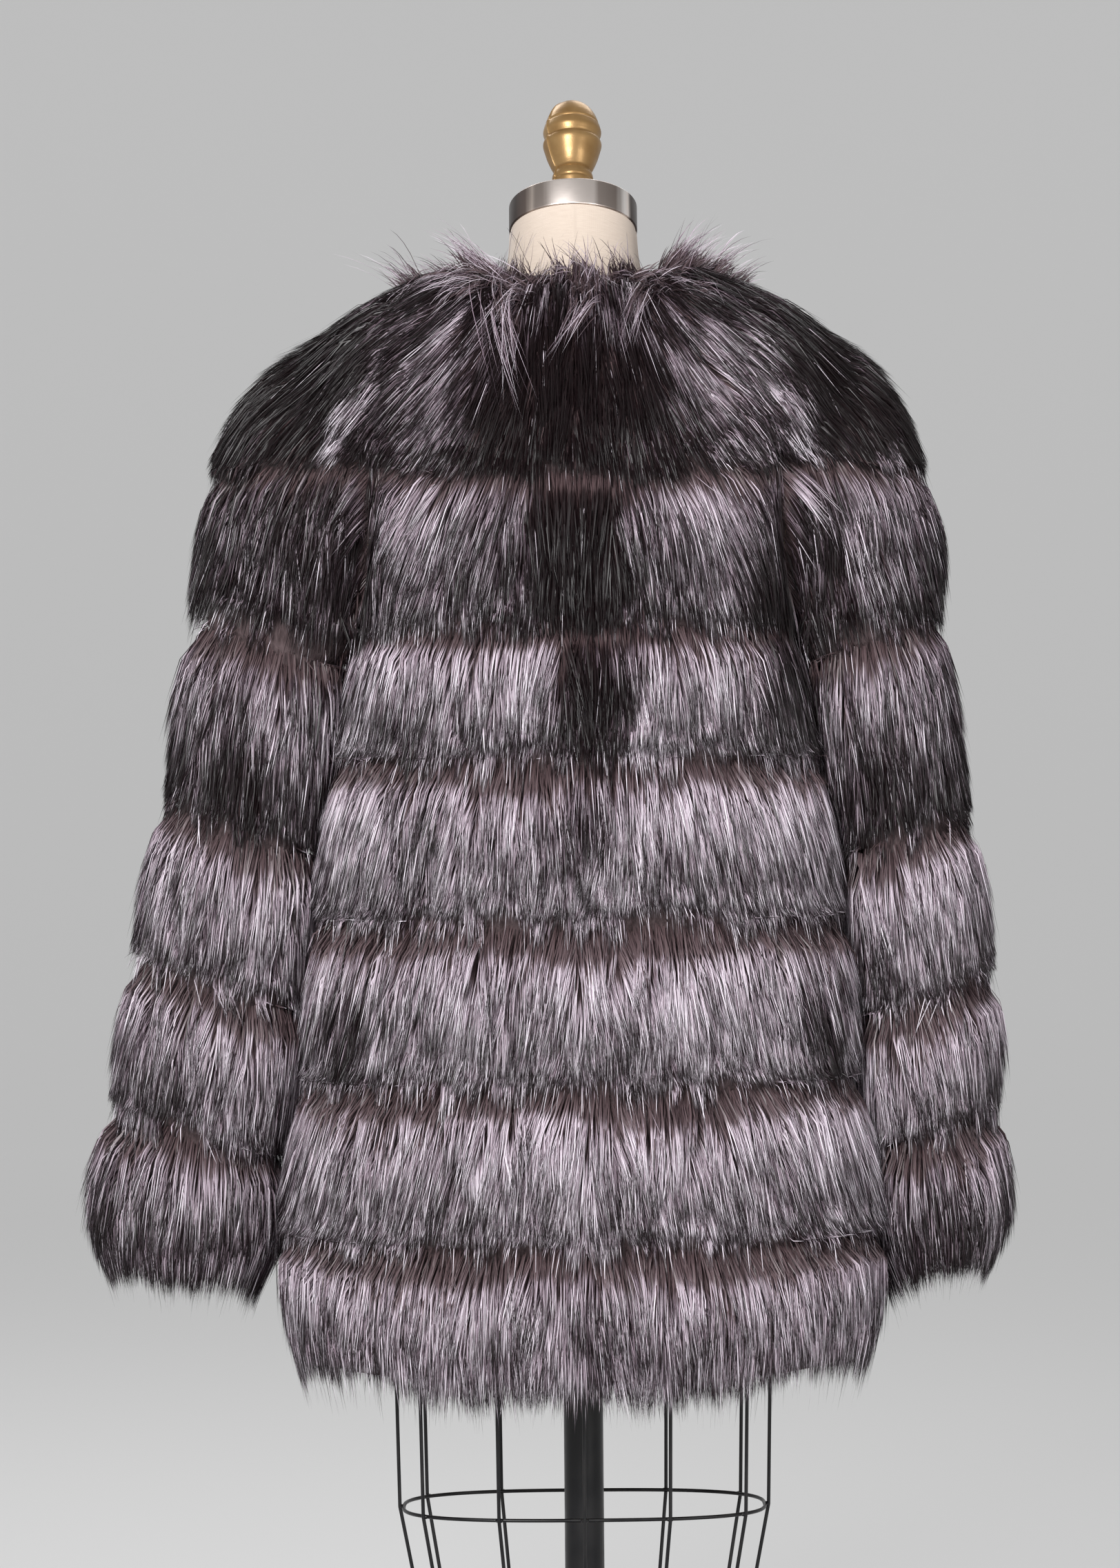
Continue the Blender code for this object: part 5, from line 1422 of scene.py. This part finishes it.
def guard_hair_material():
    """Hair coloured along its length, from brown underfur through its band to its tip.

    The map's first direction runs from root to tip and its second from black to silver hair.
    Fine stripes of the second direction are single hairs: each has its own tone and place of
    its band.
    """
    made = Paint("guard_hair", (0.30, 0.27, 0.29), 0.36, Specular_IOR_Level=0.25)
    place = made.map_place("OFBake")
    from_root, silvery = made.split(place)[:2]
    stripes = made.noise(place, 1.0, 0.0, (0.5, 110.0, 0.0))
    shifts = made.noise(place, 1.0, 0.0, (0.7, 83.0, 7.0))
    along = made.add_scaled(from_root, shifts, 0.5, 0.30)
    contrast = made.between(silvery, 0.0, 0.40, 0.5, 2.0)
    tone = made.add_scaled(silvery, stripes, 0.5, contrast)
    brown, warm = (0.090, 0.058, 0.061), (0.150, 0.106, 0.117)
    black = made.ramp(
        along, (0.00, brown), (0.24, brown), (0.38, (0.016, 0.0085, 0.0095)),
        (0.62, (0.011, 0.006, 0.007)), (1.00, (0.006, 0.0035, 0.004)))
    banded = made.ramp(
        along, (0.00, brown), (0.26, warm), (0.38, (0.34, 0.250, 0.310)),
        (0.62, (0.42, 0.315, 0.385)), (0.76, (0.036, 0.022, 0.026)), (1.00, (0.012, 0.008, 0.009)))
    silver = made.ramp(
        along, (0.00, brown), (0.24, warm), (0.34, (0.68, 0.585, 0.665)),
        (0.78, (0.92, 0.855, 0.930)), (0.90, (0.26, 0.210, 0.250)), (1.00, (0.04, 0.030, 0.034)))
    lower = made.blend(made.between(tone, 0.20, 0.52), black, banded)
    made.paint(Base_Color=made.blend(made.between(tone, 0.56, 0.86), lower, silver))
    return made.material


def underfur_material():
    """Dense brown-grey wool under the hair, in fine clumps that run down the tier."""
    made = Paint("underfur", (0.10, 0.085, 0.08), 0.9, Specular_IOR_Level=0.2)
    place = made.object_place()
    clumps = made.noise(place, 260.0, 4.0, (1.0, 1.0, 0.28))
    slow = made.noise(place, 30.0, 2.0)
    dark = made.ramp(clumps, (0.30, (0.040, 0.027, 0.027)), (0.70, (0.11, 0.078, 0.080)))
    pale = made.ramp(clumps, (0.30, (0.055, 0.038, 0.040)), (0.70, (0.15, 0.110, 0.115)))
    made.paint(Base_Color=made.blend(slow, dark, pale))
    made.raised(clumps, 0.9, 0.003)
    return made.material


def leather_material():
    """The pelts' suede side: pale mottled tan, with pores."""
    made = Paint("pelt_leather", (0.46, 0.36, 0.27), 0.85, Specular_IOR_Level=0.25)
    place = made.object_place()
    mottle = made.noise(place, 45.0, 5.0)
    made.paint(Base_Color=made.ramp(mottle, (0.3, (0.36, 0.27, 0.19)), (0.7, (0.56, 0.45, 0.34))))
    made.raised(made.noise(place, 900.0, 2.0), 0.4, 0.0006)
    return made.material


def linen_material():
    """Plain woven ivory linen: threads both ways on the map in metres, with slubs."""
    made = Paint("linen", (0.70, 0.63, 0.52), 0.88, Sheen_Weight=0.25, Specular_IOR_Level=0.3)
    place = made.map_place("threads")
    threads = []
    for direction in ("X", "Y"):
        wave = made.node("ShaderNodeTexWave", Vector=place, Scale=330.0, Distortion=1.2, Detail=1.0)
        wave.bands_direction = direction
        threads.append(wave.outputs["Fac"])
    slubs = made.noise(place, 90.0, 3.0, (1.0, 14.0, 1.0))
    slow = made.noise(place, 18.0, 2.0)
    fine = made.ramp(slubs, (0.35, (0.62, 0.515, 0.430)), (0.65, (0.67, 0.565, 0.475)))
    worn = made.ramp(slubs, (0.35, (0.66, 0.555, 0.470)), (0.65, (0.71, 0.605, 0.52)))
    made.paint(Base_Color=made.blend(slow, fine, worn))
    made.raised(made.maths("MAXIMUM", *threads), 0.35, 0.0004)
    return made.material


def steel_material():
    """Brushed steel whose rim has bands of painted reflection up its height, twice the same in a
    whole turn.

    The rim lies between 0.4 and 0.6 down the map; the flat faces above and below are plain.
    """
    made = Paint("brushed_steel", (0.56, 0.54, 0.53), 0.30, Metallic=1.0)
    place = made.map_place("OFBake")
    brush = made.noise(place, 40.0, 4.0, (1.0, 26.0, 1.0))
    # Slow noise that wavers the painted reflection round the rim.
    reflection_wobble = made.noise(place, 20.0, 3.0, (1.0, 0.03, 1.0))
    around, down = made.split(place)[:2]
    half_turn = made.maths("FRACT", made.maths("MULTIPLY_ADD", around, 2.0, 0.5))
    # Colours of the painted reflection on the rim, from dark to light.
    dark, mid, light = (0.075, 0.058, 0.052), (0.50, 0.425, 0.385), (1.00, 0.90, 0.84)
    # Painted reflection of the surroundings round the rim, the same each half turn.
    painted_reflections = made.ramp(
        made.add_scaled(half_turn, reflection_wobble, 0.5, 0.10),
        (0.130, dark), (0.240, (0.24, 0.190, 0.170)), (0.280, (0.85, 0.730, 0.650)), (0.310, mid),
        (0.360, mid), (0.400, light), (0.600, light), (0.640, mid), (0.740, (0.34, 0.285, 0.255)),
        (0.785, (1.00, 0.950, 0.910)), (0.820, light), (0.860, dark))
    faces = made.ramp(brush, (0.3, (0.56, 0.515, 0.495)), (0.7, (0.64, 0.590, 0.565)))
    # The painted reflection covers the rim only; the flat faces keep the brushed colour.
    on_rim = made.maths("MINIMUM", made.between(down, 0.38, 0.42),
                        made.between(down, 0.58, 0.62, 1.0, 0.0))
    made.paint(Base_Color=made.blend(on_rim, faces, painted_reflections),
               Roughness=made.between(brush, 0.3, 0.7, 0.30, 0.38))
    made.raised(brush, 0.05, 0.0003)
    return made.material


def gold_material():
    """Antique gold paint over a moulded body, uneven in its coat, with a fine grain."""
    made = Paint("gold_paint", (0.40, 0.25, 0.09), 0.38, Metallic=0.55)
    place = made.object_place()
    patchy = made.noise(place, 60.0, 2.0)
    made.paint(Base_Color=made.ramp(patchy, (0.28, (0.26, 0.146, 0.050)),
                                    (0.50, (0.325, 0.192, 0.074)), (0.75, (0.39, 0.243, 0.102))),
               Roughness=made.between(patchy, 0.3, 0.7, 0.46, 0.30))
    made.raised(made.noise(place, 900.0, 2.0), 0.20, 0.0003)
    return made.material


def enamel_material():
    """Black enamel with a faint orange peel and duller rubbed places."""
    made = Paint("black_enamel", (0.007, 0.007, 0.008), 0.34, Specular_IOR_Level=0.3)
    place = made.object_place()
    rubbed = made.noise(place, 35.0, 4.0)
    made.paint(Base_Color=made.ramp(rubbed, (0.4, (0.005, 0.005, 0.006)),
                                    (0.8, (0.014, 0.013, 0.013))),
               Roughness=made.between(rubbed, 0.35, 0.75, 0.28, 0.48))
    made.raised(made.noise(place, 700.0, 2.0), 0.12, 0.0003)
    return made.material


guard_hair = guard_hair_material()
underfur = underfur_material()
leather = leather_material()
linen = linen_material()
steel = steel_material()
gold = gold_material()
enamel = enamel_material()


# ------------------------------------------------------------------ dress form
SEAM_RAISE = 0.0009           # how far the cover's seams stand proud
SEAM_HALF_WIDTH = 0.0016
FORM_SEAM_ANGLES = (0.0, 48.0, 90.0, 132.0, 180.0, 228.0, 270.0, 312.0)  # degrees
NECK_SEAM_FADE = (1.33, 1.38)  # heights where the panels' seams run out
FORM_COLUMNS = 240
FORM_ROWS = 84
STATION_MARGIN = 0.02         # its normals are read this far inside its two ends
END_MAP_SHARE = 0.05          # of a closed shape's map, for the fan at each end
SHARP_DEGREES = 40            # edges that turn more than this are not smoothed


def walked_along(points):
    """The length walked along the last-but-one axis of rows of points, from 0."""
    steps = np.linalg.norm(np.diff(points, axis=-2), axis=-1)
    return np.concatenate([np.zeros_like(steps[..., :1]), np.cumsum(steps, axis=-1)], axis=-1)


def closed_rings(name, rings, finish, replaces, metre_map=None):
    """A solid through closed rings of points from top to bottom, with a fan on each end.

    Its OFBake map runs once round and down.  A metre_map, by name, is in metres both ways.
    """
    count, columns = rings.shape[:2]
    rings = np.concatenate([rings, rings[:, :1]], axis=1)
    ends = np.stack([rings[0, :-1].mean(axis=0), rings[-1, :-1].mean(axis=0)])
    points = np.concatenate([rings.reshape(-1, 3), ends])
    ids = np.arange(count * (columns + 1)).reshape(count, columns + 1)
    top, bottom = (np.full(columns, len(points) - k) for k in (2, 1))
    faces = [neighbours(ids), np.concatenate([
        np.stack([top, ids[0, :-1], ids[0, 1:]], axis=-1),
        np.stack([bottom, ids[-1, 1:], ids[-1, :-1]], axis=-1)])]
    walked = walked_along(rings[:, 0])
    down = END_MAP_SHARE + (1.0 - 2.0 * END_MAP_SHARE) * (walked / walked[-1])
    around = np.linspace(0.0, 1.0, columns + 1)
    places = np.stack(np.broadcast_arrays(around, down[:, None]), axis=-1).reshape(-1, 2)
    maps = {"OFBake": np.concatenate([places, [[0.5, 0.0], [0.5, 1.0]]])}
    if metre_map:
        metres = np.stack(np.broadcast_arrays(walked_along(rings), walked[:, None]), axis=-1)
        maps[metre_map] = np.concatenate([metres.reshape(-1, 2), np.zeros((2, 2))])
    corners = np.concatenate([group.ravel() for group in faces])
    weld = np.arange(len(points))
    weld[ids[:, -1]] = ids[:, 0]
    groups, used = without_spares(points, [weld[group] for group in faces])
    made = put_mesh(name, points[used], groups, [finish],
                    {layer: places[corners] for layer, places in maps.items()},
                    sharp_degrees=SHARP_DEGREES)
    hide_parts(replaces)
    return made


def turned_past(angle, start):
    """How far an angle lies past the start, from minus a half turn to a half turn."""
    return np.angle(np.exp(1j * (angle - start)))


def make_torso():
    """The form's own surface with raised seams, each of a bell shape across."""
    stations = np.interp(np.linspace(0, 1, FORM_ROWS), np.linspace(0, 1, len(FORM_STATIONS)),
                         FORM_STATIONS)
    turn = np.linspace(0.0, 2 * math.pi, FORM_COLUMNS, endpoint=False)
    station, angle = np.meshgrid(stations, turn, indexing="ij")
    points = form_surface(station, angle)
    half_width = read_sections(FORM_SECTIONS, station)[..., 3]
    inside = np.clip(station, STATION_MARGIN, len(FORM_SECTIONS) - 1 - STATION_MARGIN)
    outward = surface_normal(form_surface, inside, angle)
    for degrees in FORM_SEAM_ANGLES:
        away = np.abs(turned_past(angle, math.radians(degrees))) * half_width
        bell = np.exp(-(away / SEAM_HALF_WIDTH) ** 2)[..., None]
        if degrees % 90.0:
            bell = bell * fall(*NECK_SEAM_FADE, points[..., 2:])
        points = points + SEAM_RAISE * bell * outward
    return closed_rings("form_cover", points, linen, "form_torso", "threads")


def turned(name, profile, columns, finish, replaces, origin=(0, 0, 0), tilt=0.0, ridge=0.0):
    """A profile of (along, radius) turned about an axis that leans towards +Y.

    The ridge is how far a narrow mould seam stands off along one side.
    """
    turn = np.linspace(-math.pi, math.pi, columns, endpoint=False)
    rows = np.array(profile[::-1])
    off_seam = turned_past(turn, MOULD_SEAM_ANGLE) / MOULD_SEAM_HALF_WIDTH
    radius = rows[:, 1:] + ridge * np.exp(-off_seam ** 2)
    x, y, z = radius * np.sin(turn), -radius * np.cos(turn), rows[:, :1]
    leaning = np.stack(np.broadcast_arrays(x, y * math.cos(tilt) + z * math.sin(tilt),
                                           -y * math.sin(tilt) + z * math.cos(tilt)), axis=-1)
    closed_rings(name, leaning + np.array(origin), finish, replaces)


FINIAL_GROOVES = ((0.0250, 0.0008), (0.0345, 0.0010), (0.0806, 0.0013))  # height, depth
GROOVE_HALF_WIDTH = 0.0008
MOULD_SEAM_ANGLE = math.radians(-58)
MOULD_SEAM_HALF_WIDTH = 0.035  # radians
MOULD_SEAM_RAISE = 0.0011
AXIS_RADIUS = 0.001           # of the innermost ring of a flat end, which a fan closes
LEAST_RADIUS = 1e-4
POLE_RIM = 0.0008
ARC_STEPS = 5                 # points round a profile's turned corner
FINIAL_STEPS, BASE_STEPS = 8, 4  # from one of the profile's points to the next
DISC_COLUMNS = 128            # round the plate and the base
FINIAL_COLUMNS = 112
POLE_COLUMNS = 72


def smooth_profile(profile, steps, grooves=()):
    """Catmull-Rom curve through a profile's points, with narrow grooves turned into it."""
    rows = read_sections(profile, np.linspace(0, len(profile) - 1, (len(profile) - 1) * steps + 1))
    for height, depth in grooves:
        rows[:, 1] -= depth * np.exp(-((rows[:, 0] - height) / GROOVE_HALF_WIDTH) ** 2)
    rows[:, 1] = np.maximum(rows[:, 1], LEAST_RADIUS)
    return rows


def rod_profile(length, radius, rim):
    """The profile of a rod or disc whose two rims are turned by a curve through each corner."""
    corners = np.array([(0.0, AXIS_RADIUS), (0.0, radius), (length, radius), (length, AXIS_RADIUS)])
    made = [corners[0]]
    for k in (1, 2):
        before = corners[k] + rim * unit(corners[k - 1] - corners[k])
        after = corners[k] + rim * unit(corners[k + 1] - corners[k])
        for t in np.linspace(0, 1, ARC_STEPS):
            made.append((1 - t) ** 2 * before + 2 * t * (1 - t) * corners[k] + t ** 2 * after)
    made.append(corners[-1])
    return np.array(made)


def make_neck_pieces():
    """The plate on the neck's sloping top, and the finial on the plate."""
    lean = np.array([0.0, math.sin(PLATE_TILT), math.cos(PLATE_TILT)])
    seat = np.array([0.0, 0.0, NECK_TOP_HEIGHT]) + SEAM_GAP * lean
    turned("plate", rod_profile(PLATE_THICKNESS, PLATE_RADIUS, PLATE_RIM), DISC_COLUMNS,
           steel, "neck_plate", seat, PLATE_TILT)
    seat = seat + (PLATE_THICKNESS + SEAM_GAP) * lean
    turned("knob", smooth_profile(FINIAL_PROFILE, FINIAL_STEPS, FINIAL_GROOVES), FINIAL_COLUMNS,
           gold, "finial", seat, PLATE_TILT, MOULD_SEAM_RAISE)


def make_stand():
    """The round base and the pole that stands in its hub."""
    turned("stand_base", smooth_profile(BASE_PROFILE, BASE_STEPS), DISC_COLUMNS,
           enamel, "base")
    length = TORSO_BASE_HEIGHT - HUB_HEIGHT - 2 * SEAM_GAP
    turned("stand_pole", rod_profile(length, POLE_RADIUS, POLE_RIM), POLE_COLUMNS,
           enamel, "pole", (0, 0, HUB_HEIGHT + SEAM_GAP))


# ------------------------------------------------------------------ wire cage
WIRE_CORNERS = 14
WIRE_STEPS = (8, 8, 10)       # heights down to the bend, the upper ring and the tail
RING_STEPS = 240
WELD_LENGTH = 0.0075
WELD_RADIUS = 0.0021
WELD_CORNERS = 10
WELD_STEPS = 9
LEAST_WELD_RADIUS = 1e-5      # at a bead's two ends
WIRE_SPREAD = 0.02            # angle either side of a wire from which its outward way is taken


def wire_line(degrees, heights):
    """A wire's middle at the given heights: the cage's outline moved out by two wires."""
    angle = np.full(len(heights), math.radians(degrees))
    size = ring_size(heights)
    way = unit(cage_outline(angle + WIRE_SPREAD, *size) - cage_outline(angle - WIRE_SPREAD, *size))
    outward = np.stack([way[:, 1], -way[:, 0]], axis=-1)
    line = cage_outline(angle, *size) + (2 * WIRE_RADIUS + SEAM_GAP) * outward
    return np.column_stack([line, heights]), outward


def make_hoop(name, node, height):
    """A wire carried round the cage's outline at a height."""
    turn = np.linspace(-math.pi, math.pi, RING_STEPS, endpoint=False)
    path = np.column_stack([cage_outline(turn, *ring_size(height)), np.full(len(turn), height)])
    rings = tube(path, WIRE_RADIUS, WIRE_CORNERS, closed=True)
    faces = grid_quads(RING_STEPS + 1, WIRE_CORNERS, closed=True) % (RING_STEPS * WIRE_CORNERS)
    made = put_mesh(name, rings.reshape(-1, 3), faces, [enamel])
    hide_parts(node)


def make_welds(name, height):
    """A small bead where each wire meets a hoop: a bar with rounded ends between the two."""
    turn = np.linspace(0, 2 * math.pi, WELD_CORNERS, endpoint=False)[None, :, None]
    along = np.linspace(-1, 1, WELD_STEPS)[:, None, None]
    thick = WELD_RADIUS * np.sqrt(np.maximum(1.0 - along ** 2, 0.0)) + LEAST_WELD_RADIUS
    upright = np.array([0.0, 0.0, 1.0])
    points, faces = [], []
    for number, degrees in enumerate(WIRE_ANGLES):
        line, outward = wire_line(degrees, np.array([height]))
        across = np.append(outward[0], 0.0)
        middle = line[0] - across * (WIRE_RADIUS + 0.5 * SEAM_GAP)
        side = np.array([-across[1], across[0], 0.0])
        bead = (middle + 0.5 * WELD_LENGTH * along * side
                + thick * (np.cos(turn) * across + np.sin(turn) * upright))
        points.append(bead.reshape(-1, 3))
        faces.append(grid_quads(WELD_STEPS, WELD_CORNERS, closed=True)[:, ::-1]
                     + WELD_STEPS * WELD_CORNERS * number)
    made = put_mesh(name, np.concatenate(points), np.concatenate(faces), [enamel])


def make_cage():
    """Two hoops, the wires outside them, and the welds between."""
    make_hoop("hoop_upper", "cage_ring_upper", UPPER_RING_HEIGHT)
    make_hoop("hoop_lower", "cage_ring_lower", LOWER_RING_HEIGHT)
    bends = (TORSO_BASE_HEIGHT - SEAM_GAP, CAGE_BEND_HEIGHT, UPPER_RING_HEIGHT,
             LOWER_RING_HEIGHT - WIRE_TAIL)
    parts = [np.linspace(*ends) for ends in zip(bends[:-1], bends[1:], WIRE_STEPS)]
    heights = np.concatenate([parts[0], parts[1][1:], parts[2][1:]])
    for number, degrees in enumerate(WIRE_ANGLES, start=1):
        closed_rings(f"upright_{number:02d}",
                     tube(wire_line(degrees, heights)[0], WIRE_RADIUS, WIRE_CORNERS),
                     enamel, f"cage_wire_{number:02d}")
    make_welds("welds_upper", UPPER_RING_HEIGHT)
    make_welds("welds_lower", LOWER_RING_HEIGHT)


# ------------------------------------------------------------------ making it all
# Each piece's hairs, of which not all have room to grow, their seed and lay, and the arm's side.
GROWTH = {
    "coat_back": (112000, 11, BODY_LAY, 0.0),
    "coat_front_left": (25000, 22, BODY_LAY, 0.0),
    "coat_front_right": (25000, 23, BODY_LAY, 0.0),
    "sleeve_left": (54000, 30, SLEEVE_LAY, -1.0),
    "sleeve_right": (54000, 32, SLEEVE_LAY, 1.0),
}
# Loose hairs at the neck, the tufts that they stand in, and their seed.
NECK_GROWTH = {
    "coat_back": (6200, 84, 41),
    "coat_front_left": (2800, 40, 42),
    "coat_front_right": (2800, 40, 43),
}


def closed_up(reach, skin, marks):
    """Walls whose hair fills the narrow gap between the body's sides and the sleeves."""
    outward = unit(reach - skin)
    middle = reach.mean(axis=1, keepdims=True)
    body = np.abs(middle[..., :1]) < 0.1
    towards = np.where(body, np.abs(outward[..., :1]), -np.sign(middle[..., :1]) * outward[..., :1])
    share = smoothstep(0.35, 0.85, towards) * smoothstep(1.2, 1.9, marks)[:, None, None]
    share = share * smoothstep(0.53, 0.58, reach[..., 2:])
    return reach + GAP_CLOSING * share * outward


def make_shells():
    """The pelts by their nodes' names, and the wall that each one's hair grows on."""
    marks = body_marks()
    shells, walls = {}, {}
    for which in ("back", "front_left", "front_right"):
        node = f"coat_{which}"
        outer, inner, reach = panel_wall(which)
        shells[node] = pelt(f"{node}_pelt", outer, inner, marks, 0, 1.0)
        walls[node] = make_wall(closed_up(reach, inner, marks), inner, marks)
    marks = sleeve_marks()
    for which, side in SIDES.items():
        node = f"sleeve_{which}"
        outer, inner, cap_count = sleeve_grids(which)
        reach = outer.copy()
        for dip, front in ((BACK_ARMHOLE_DIP, False), (FRONT_ARMHOLE_DIP, True)):
            new, old = hair_edge(side, dip, front)
            bent_to_hair_edge(reach, np.arange(1, cap_count), not front, new[1:], old[1:])
        shells[node] = pelt(f"{node}_pelt", outer, inner, marks, cap_count, side)
        walls[node] = make_wall(closed_up(reach, inner, marks), inner, marks)
    return shells, walls


def make_coat():
    """The form's cover and the coat on it; the back's hair is in two halves."""
    torso = make_torso()
    shells, walls = make_shells()
    surface = all_walls_surface(walls.values())
    middle = (walls["coat_back"].skin.shape[1] - 1) / 2
    for node, shell in shells.items():
        parts = [(f"{node}_hair", 0, math.inf)]
        if node == "coat_back":
            parts = [(f"{node}_hair_left", 0, middle), (f"{node}_hair_right", middle, math.inf)]
        hair = [grow_hair(name, walls[node], *GROWTH[node], surface, first, last)
                for name, first, last in parts]
        if node in NECK_GROWTH:
            hair.append(grow_neck_fluff(f"{node}_neck_fluff", walls[node], *NECK_GROWTH[node]))
        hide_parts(node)


# ------------------------------------------------------------------ camera, lights and studio
STUDIO_RADIUS = 9.6           # of the flat floor
STUDIO_MIDDLE = 4.0           # of a ring part of the way out, so that its faces aren't too long
STUDIO_BEND = 3.4             # radius of the curve from the floor up to the wall
STUDIO_BEND_STEPS = 18
STUDIO_HEIGHT = 7.0
STUDIO_COLUMNS = 96
STUDIO_GLOW = 0.30
WORLD_STRENGTH = 0.30
WHITE = (1.0, 1.0, 1.0, 1.0)
Light = namedtuple("Light", "name place aim size power")
LIGHTS = [
    Light("key", (-1.3, -4.2, 2.6), (0, 0, 1.05), 1.2, 195.0),
    Light("fill", (2.6, -3.4, 1.4), (0, 0, 0.95), 1.8, 42.0),
    Light("back", (0.9, 2.2, 3.7), (0, 0, 1.1), 2.0, 28.0),
    Light("front", (-1.6, 2.8, 4.0), (0, 0, 0.9), 2.0, 42.0),
]


def make_camera():
    """A level camera behind the coat, with a slight roll."""
    data = bpy.data.cameras.new("camera")
    data.sensor_fit = "VERTICAL"
    data.sensor_height = SENSOR_HEIGHT
    data.lens = CAMERA_LENS
    made = bpy.data.objects.new("camera", data)
    made.location = (CAMERA_SIDE, -CAMERA_DISTANCE, CAMERA_HEIGHT)
    made.rotation_euler = (math.pi / 2, CAMERA_ROLL, 0.0)
    bpy.context.scene.collection.objects.link(made)
    bpy.context.scene.camera = made


def add_area_light(light):
    """A round lamp turned to its aim, which the camera doesn't see."""
    data = bpy.data.lights.new(light.name, "AREA")
    data.shape = "DISK"
    data.size = light.size
    data.energy = light.power
    made = bpy.data.objects.new(light.name, data)
    made.location = light.place
    made.visible_camera = False
    x, y, z = np.array(light.aim) - np.array(light.place)
    made.rotation_euler = (math.atan2(math.hypot(x, y), -z), 0.0, math.atan2(-x, y))
    bpy.context.scene.collection.objects.link(made)


def make_studio():
    """A pale round floor whose edge curves up into a wall all round, in a pale world."""
    bend = np.linspace(0, math.pi / 2, STUDIO_BEND_STEPS)
    reach = np.concatenate([
        [AXIS_RADIUS, STUDIO_MIDDLE], STUDIO_RADIUS + STUDIO_BEND * np.sin(bend),
        [STUDIO_RADIUS + STUDIO_BEND]])[:, None]
    height = np.concatenate([[0.0, 0.0], STUDIO_BEND * (1 - np.cos(bend)), [STUDIO_HEIGHT]])
    turn = np.linspace(0, 2 * math.pi, STUDIO_COLUMNS, endpoint=False)
    grid = np.stack(np.broadcast_arrays(reach * np.cos(turn), reach * np.sin(turn),
                                        height[:, None]), axis=-1)
    faces = grid_quads(len(reach), STUDIO_COLUMNS, closed=True)[:, ::-1].tolist()
    mesh = bpy.data.meshes.new("floor")
    mesh.from_pydata(grid.reshape(-1, 3).tolist(), [], faces)
    mesh.shade_smooth()
    mesh.materials.append(Paint("floor", (0.42, 0.42, 0.42), 0.9, Emission_Color=WHITE,
                                Emission_Strength=STUDIO_GLOW).material)
    floor = bpy.data.objects.new("floor", mesh)
    bpy.context.scene.collection.objects.link(floor)
    world = bpy.data.worlds.new("studio")
    bpy.context.scene.world = world
    world.use_nodes = True
    background = world.node_tree.nodes["Background"].inputs
    background["Color"].default_value = WHITE
    background["Strength"].default_value = WORLD_STRENGTH
    for light in LIGHTS:
        add_area_light(light)


bpy.context.scene.view_settings.view_transform = "Standard"
make_camera()
make_coat()
make_neck_pieces()
make_stand()
make_cage()
make_studio()
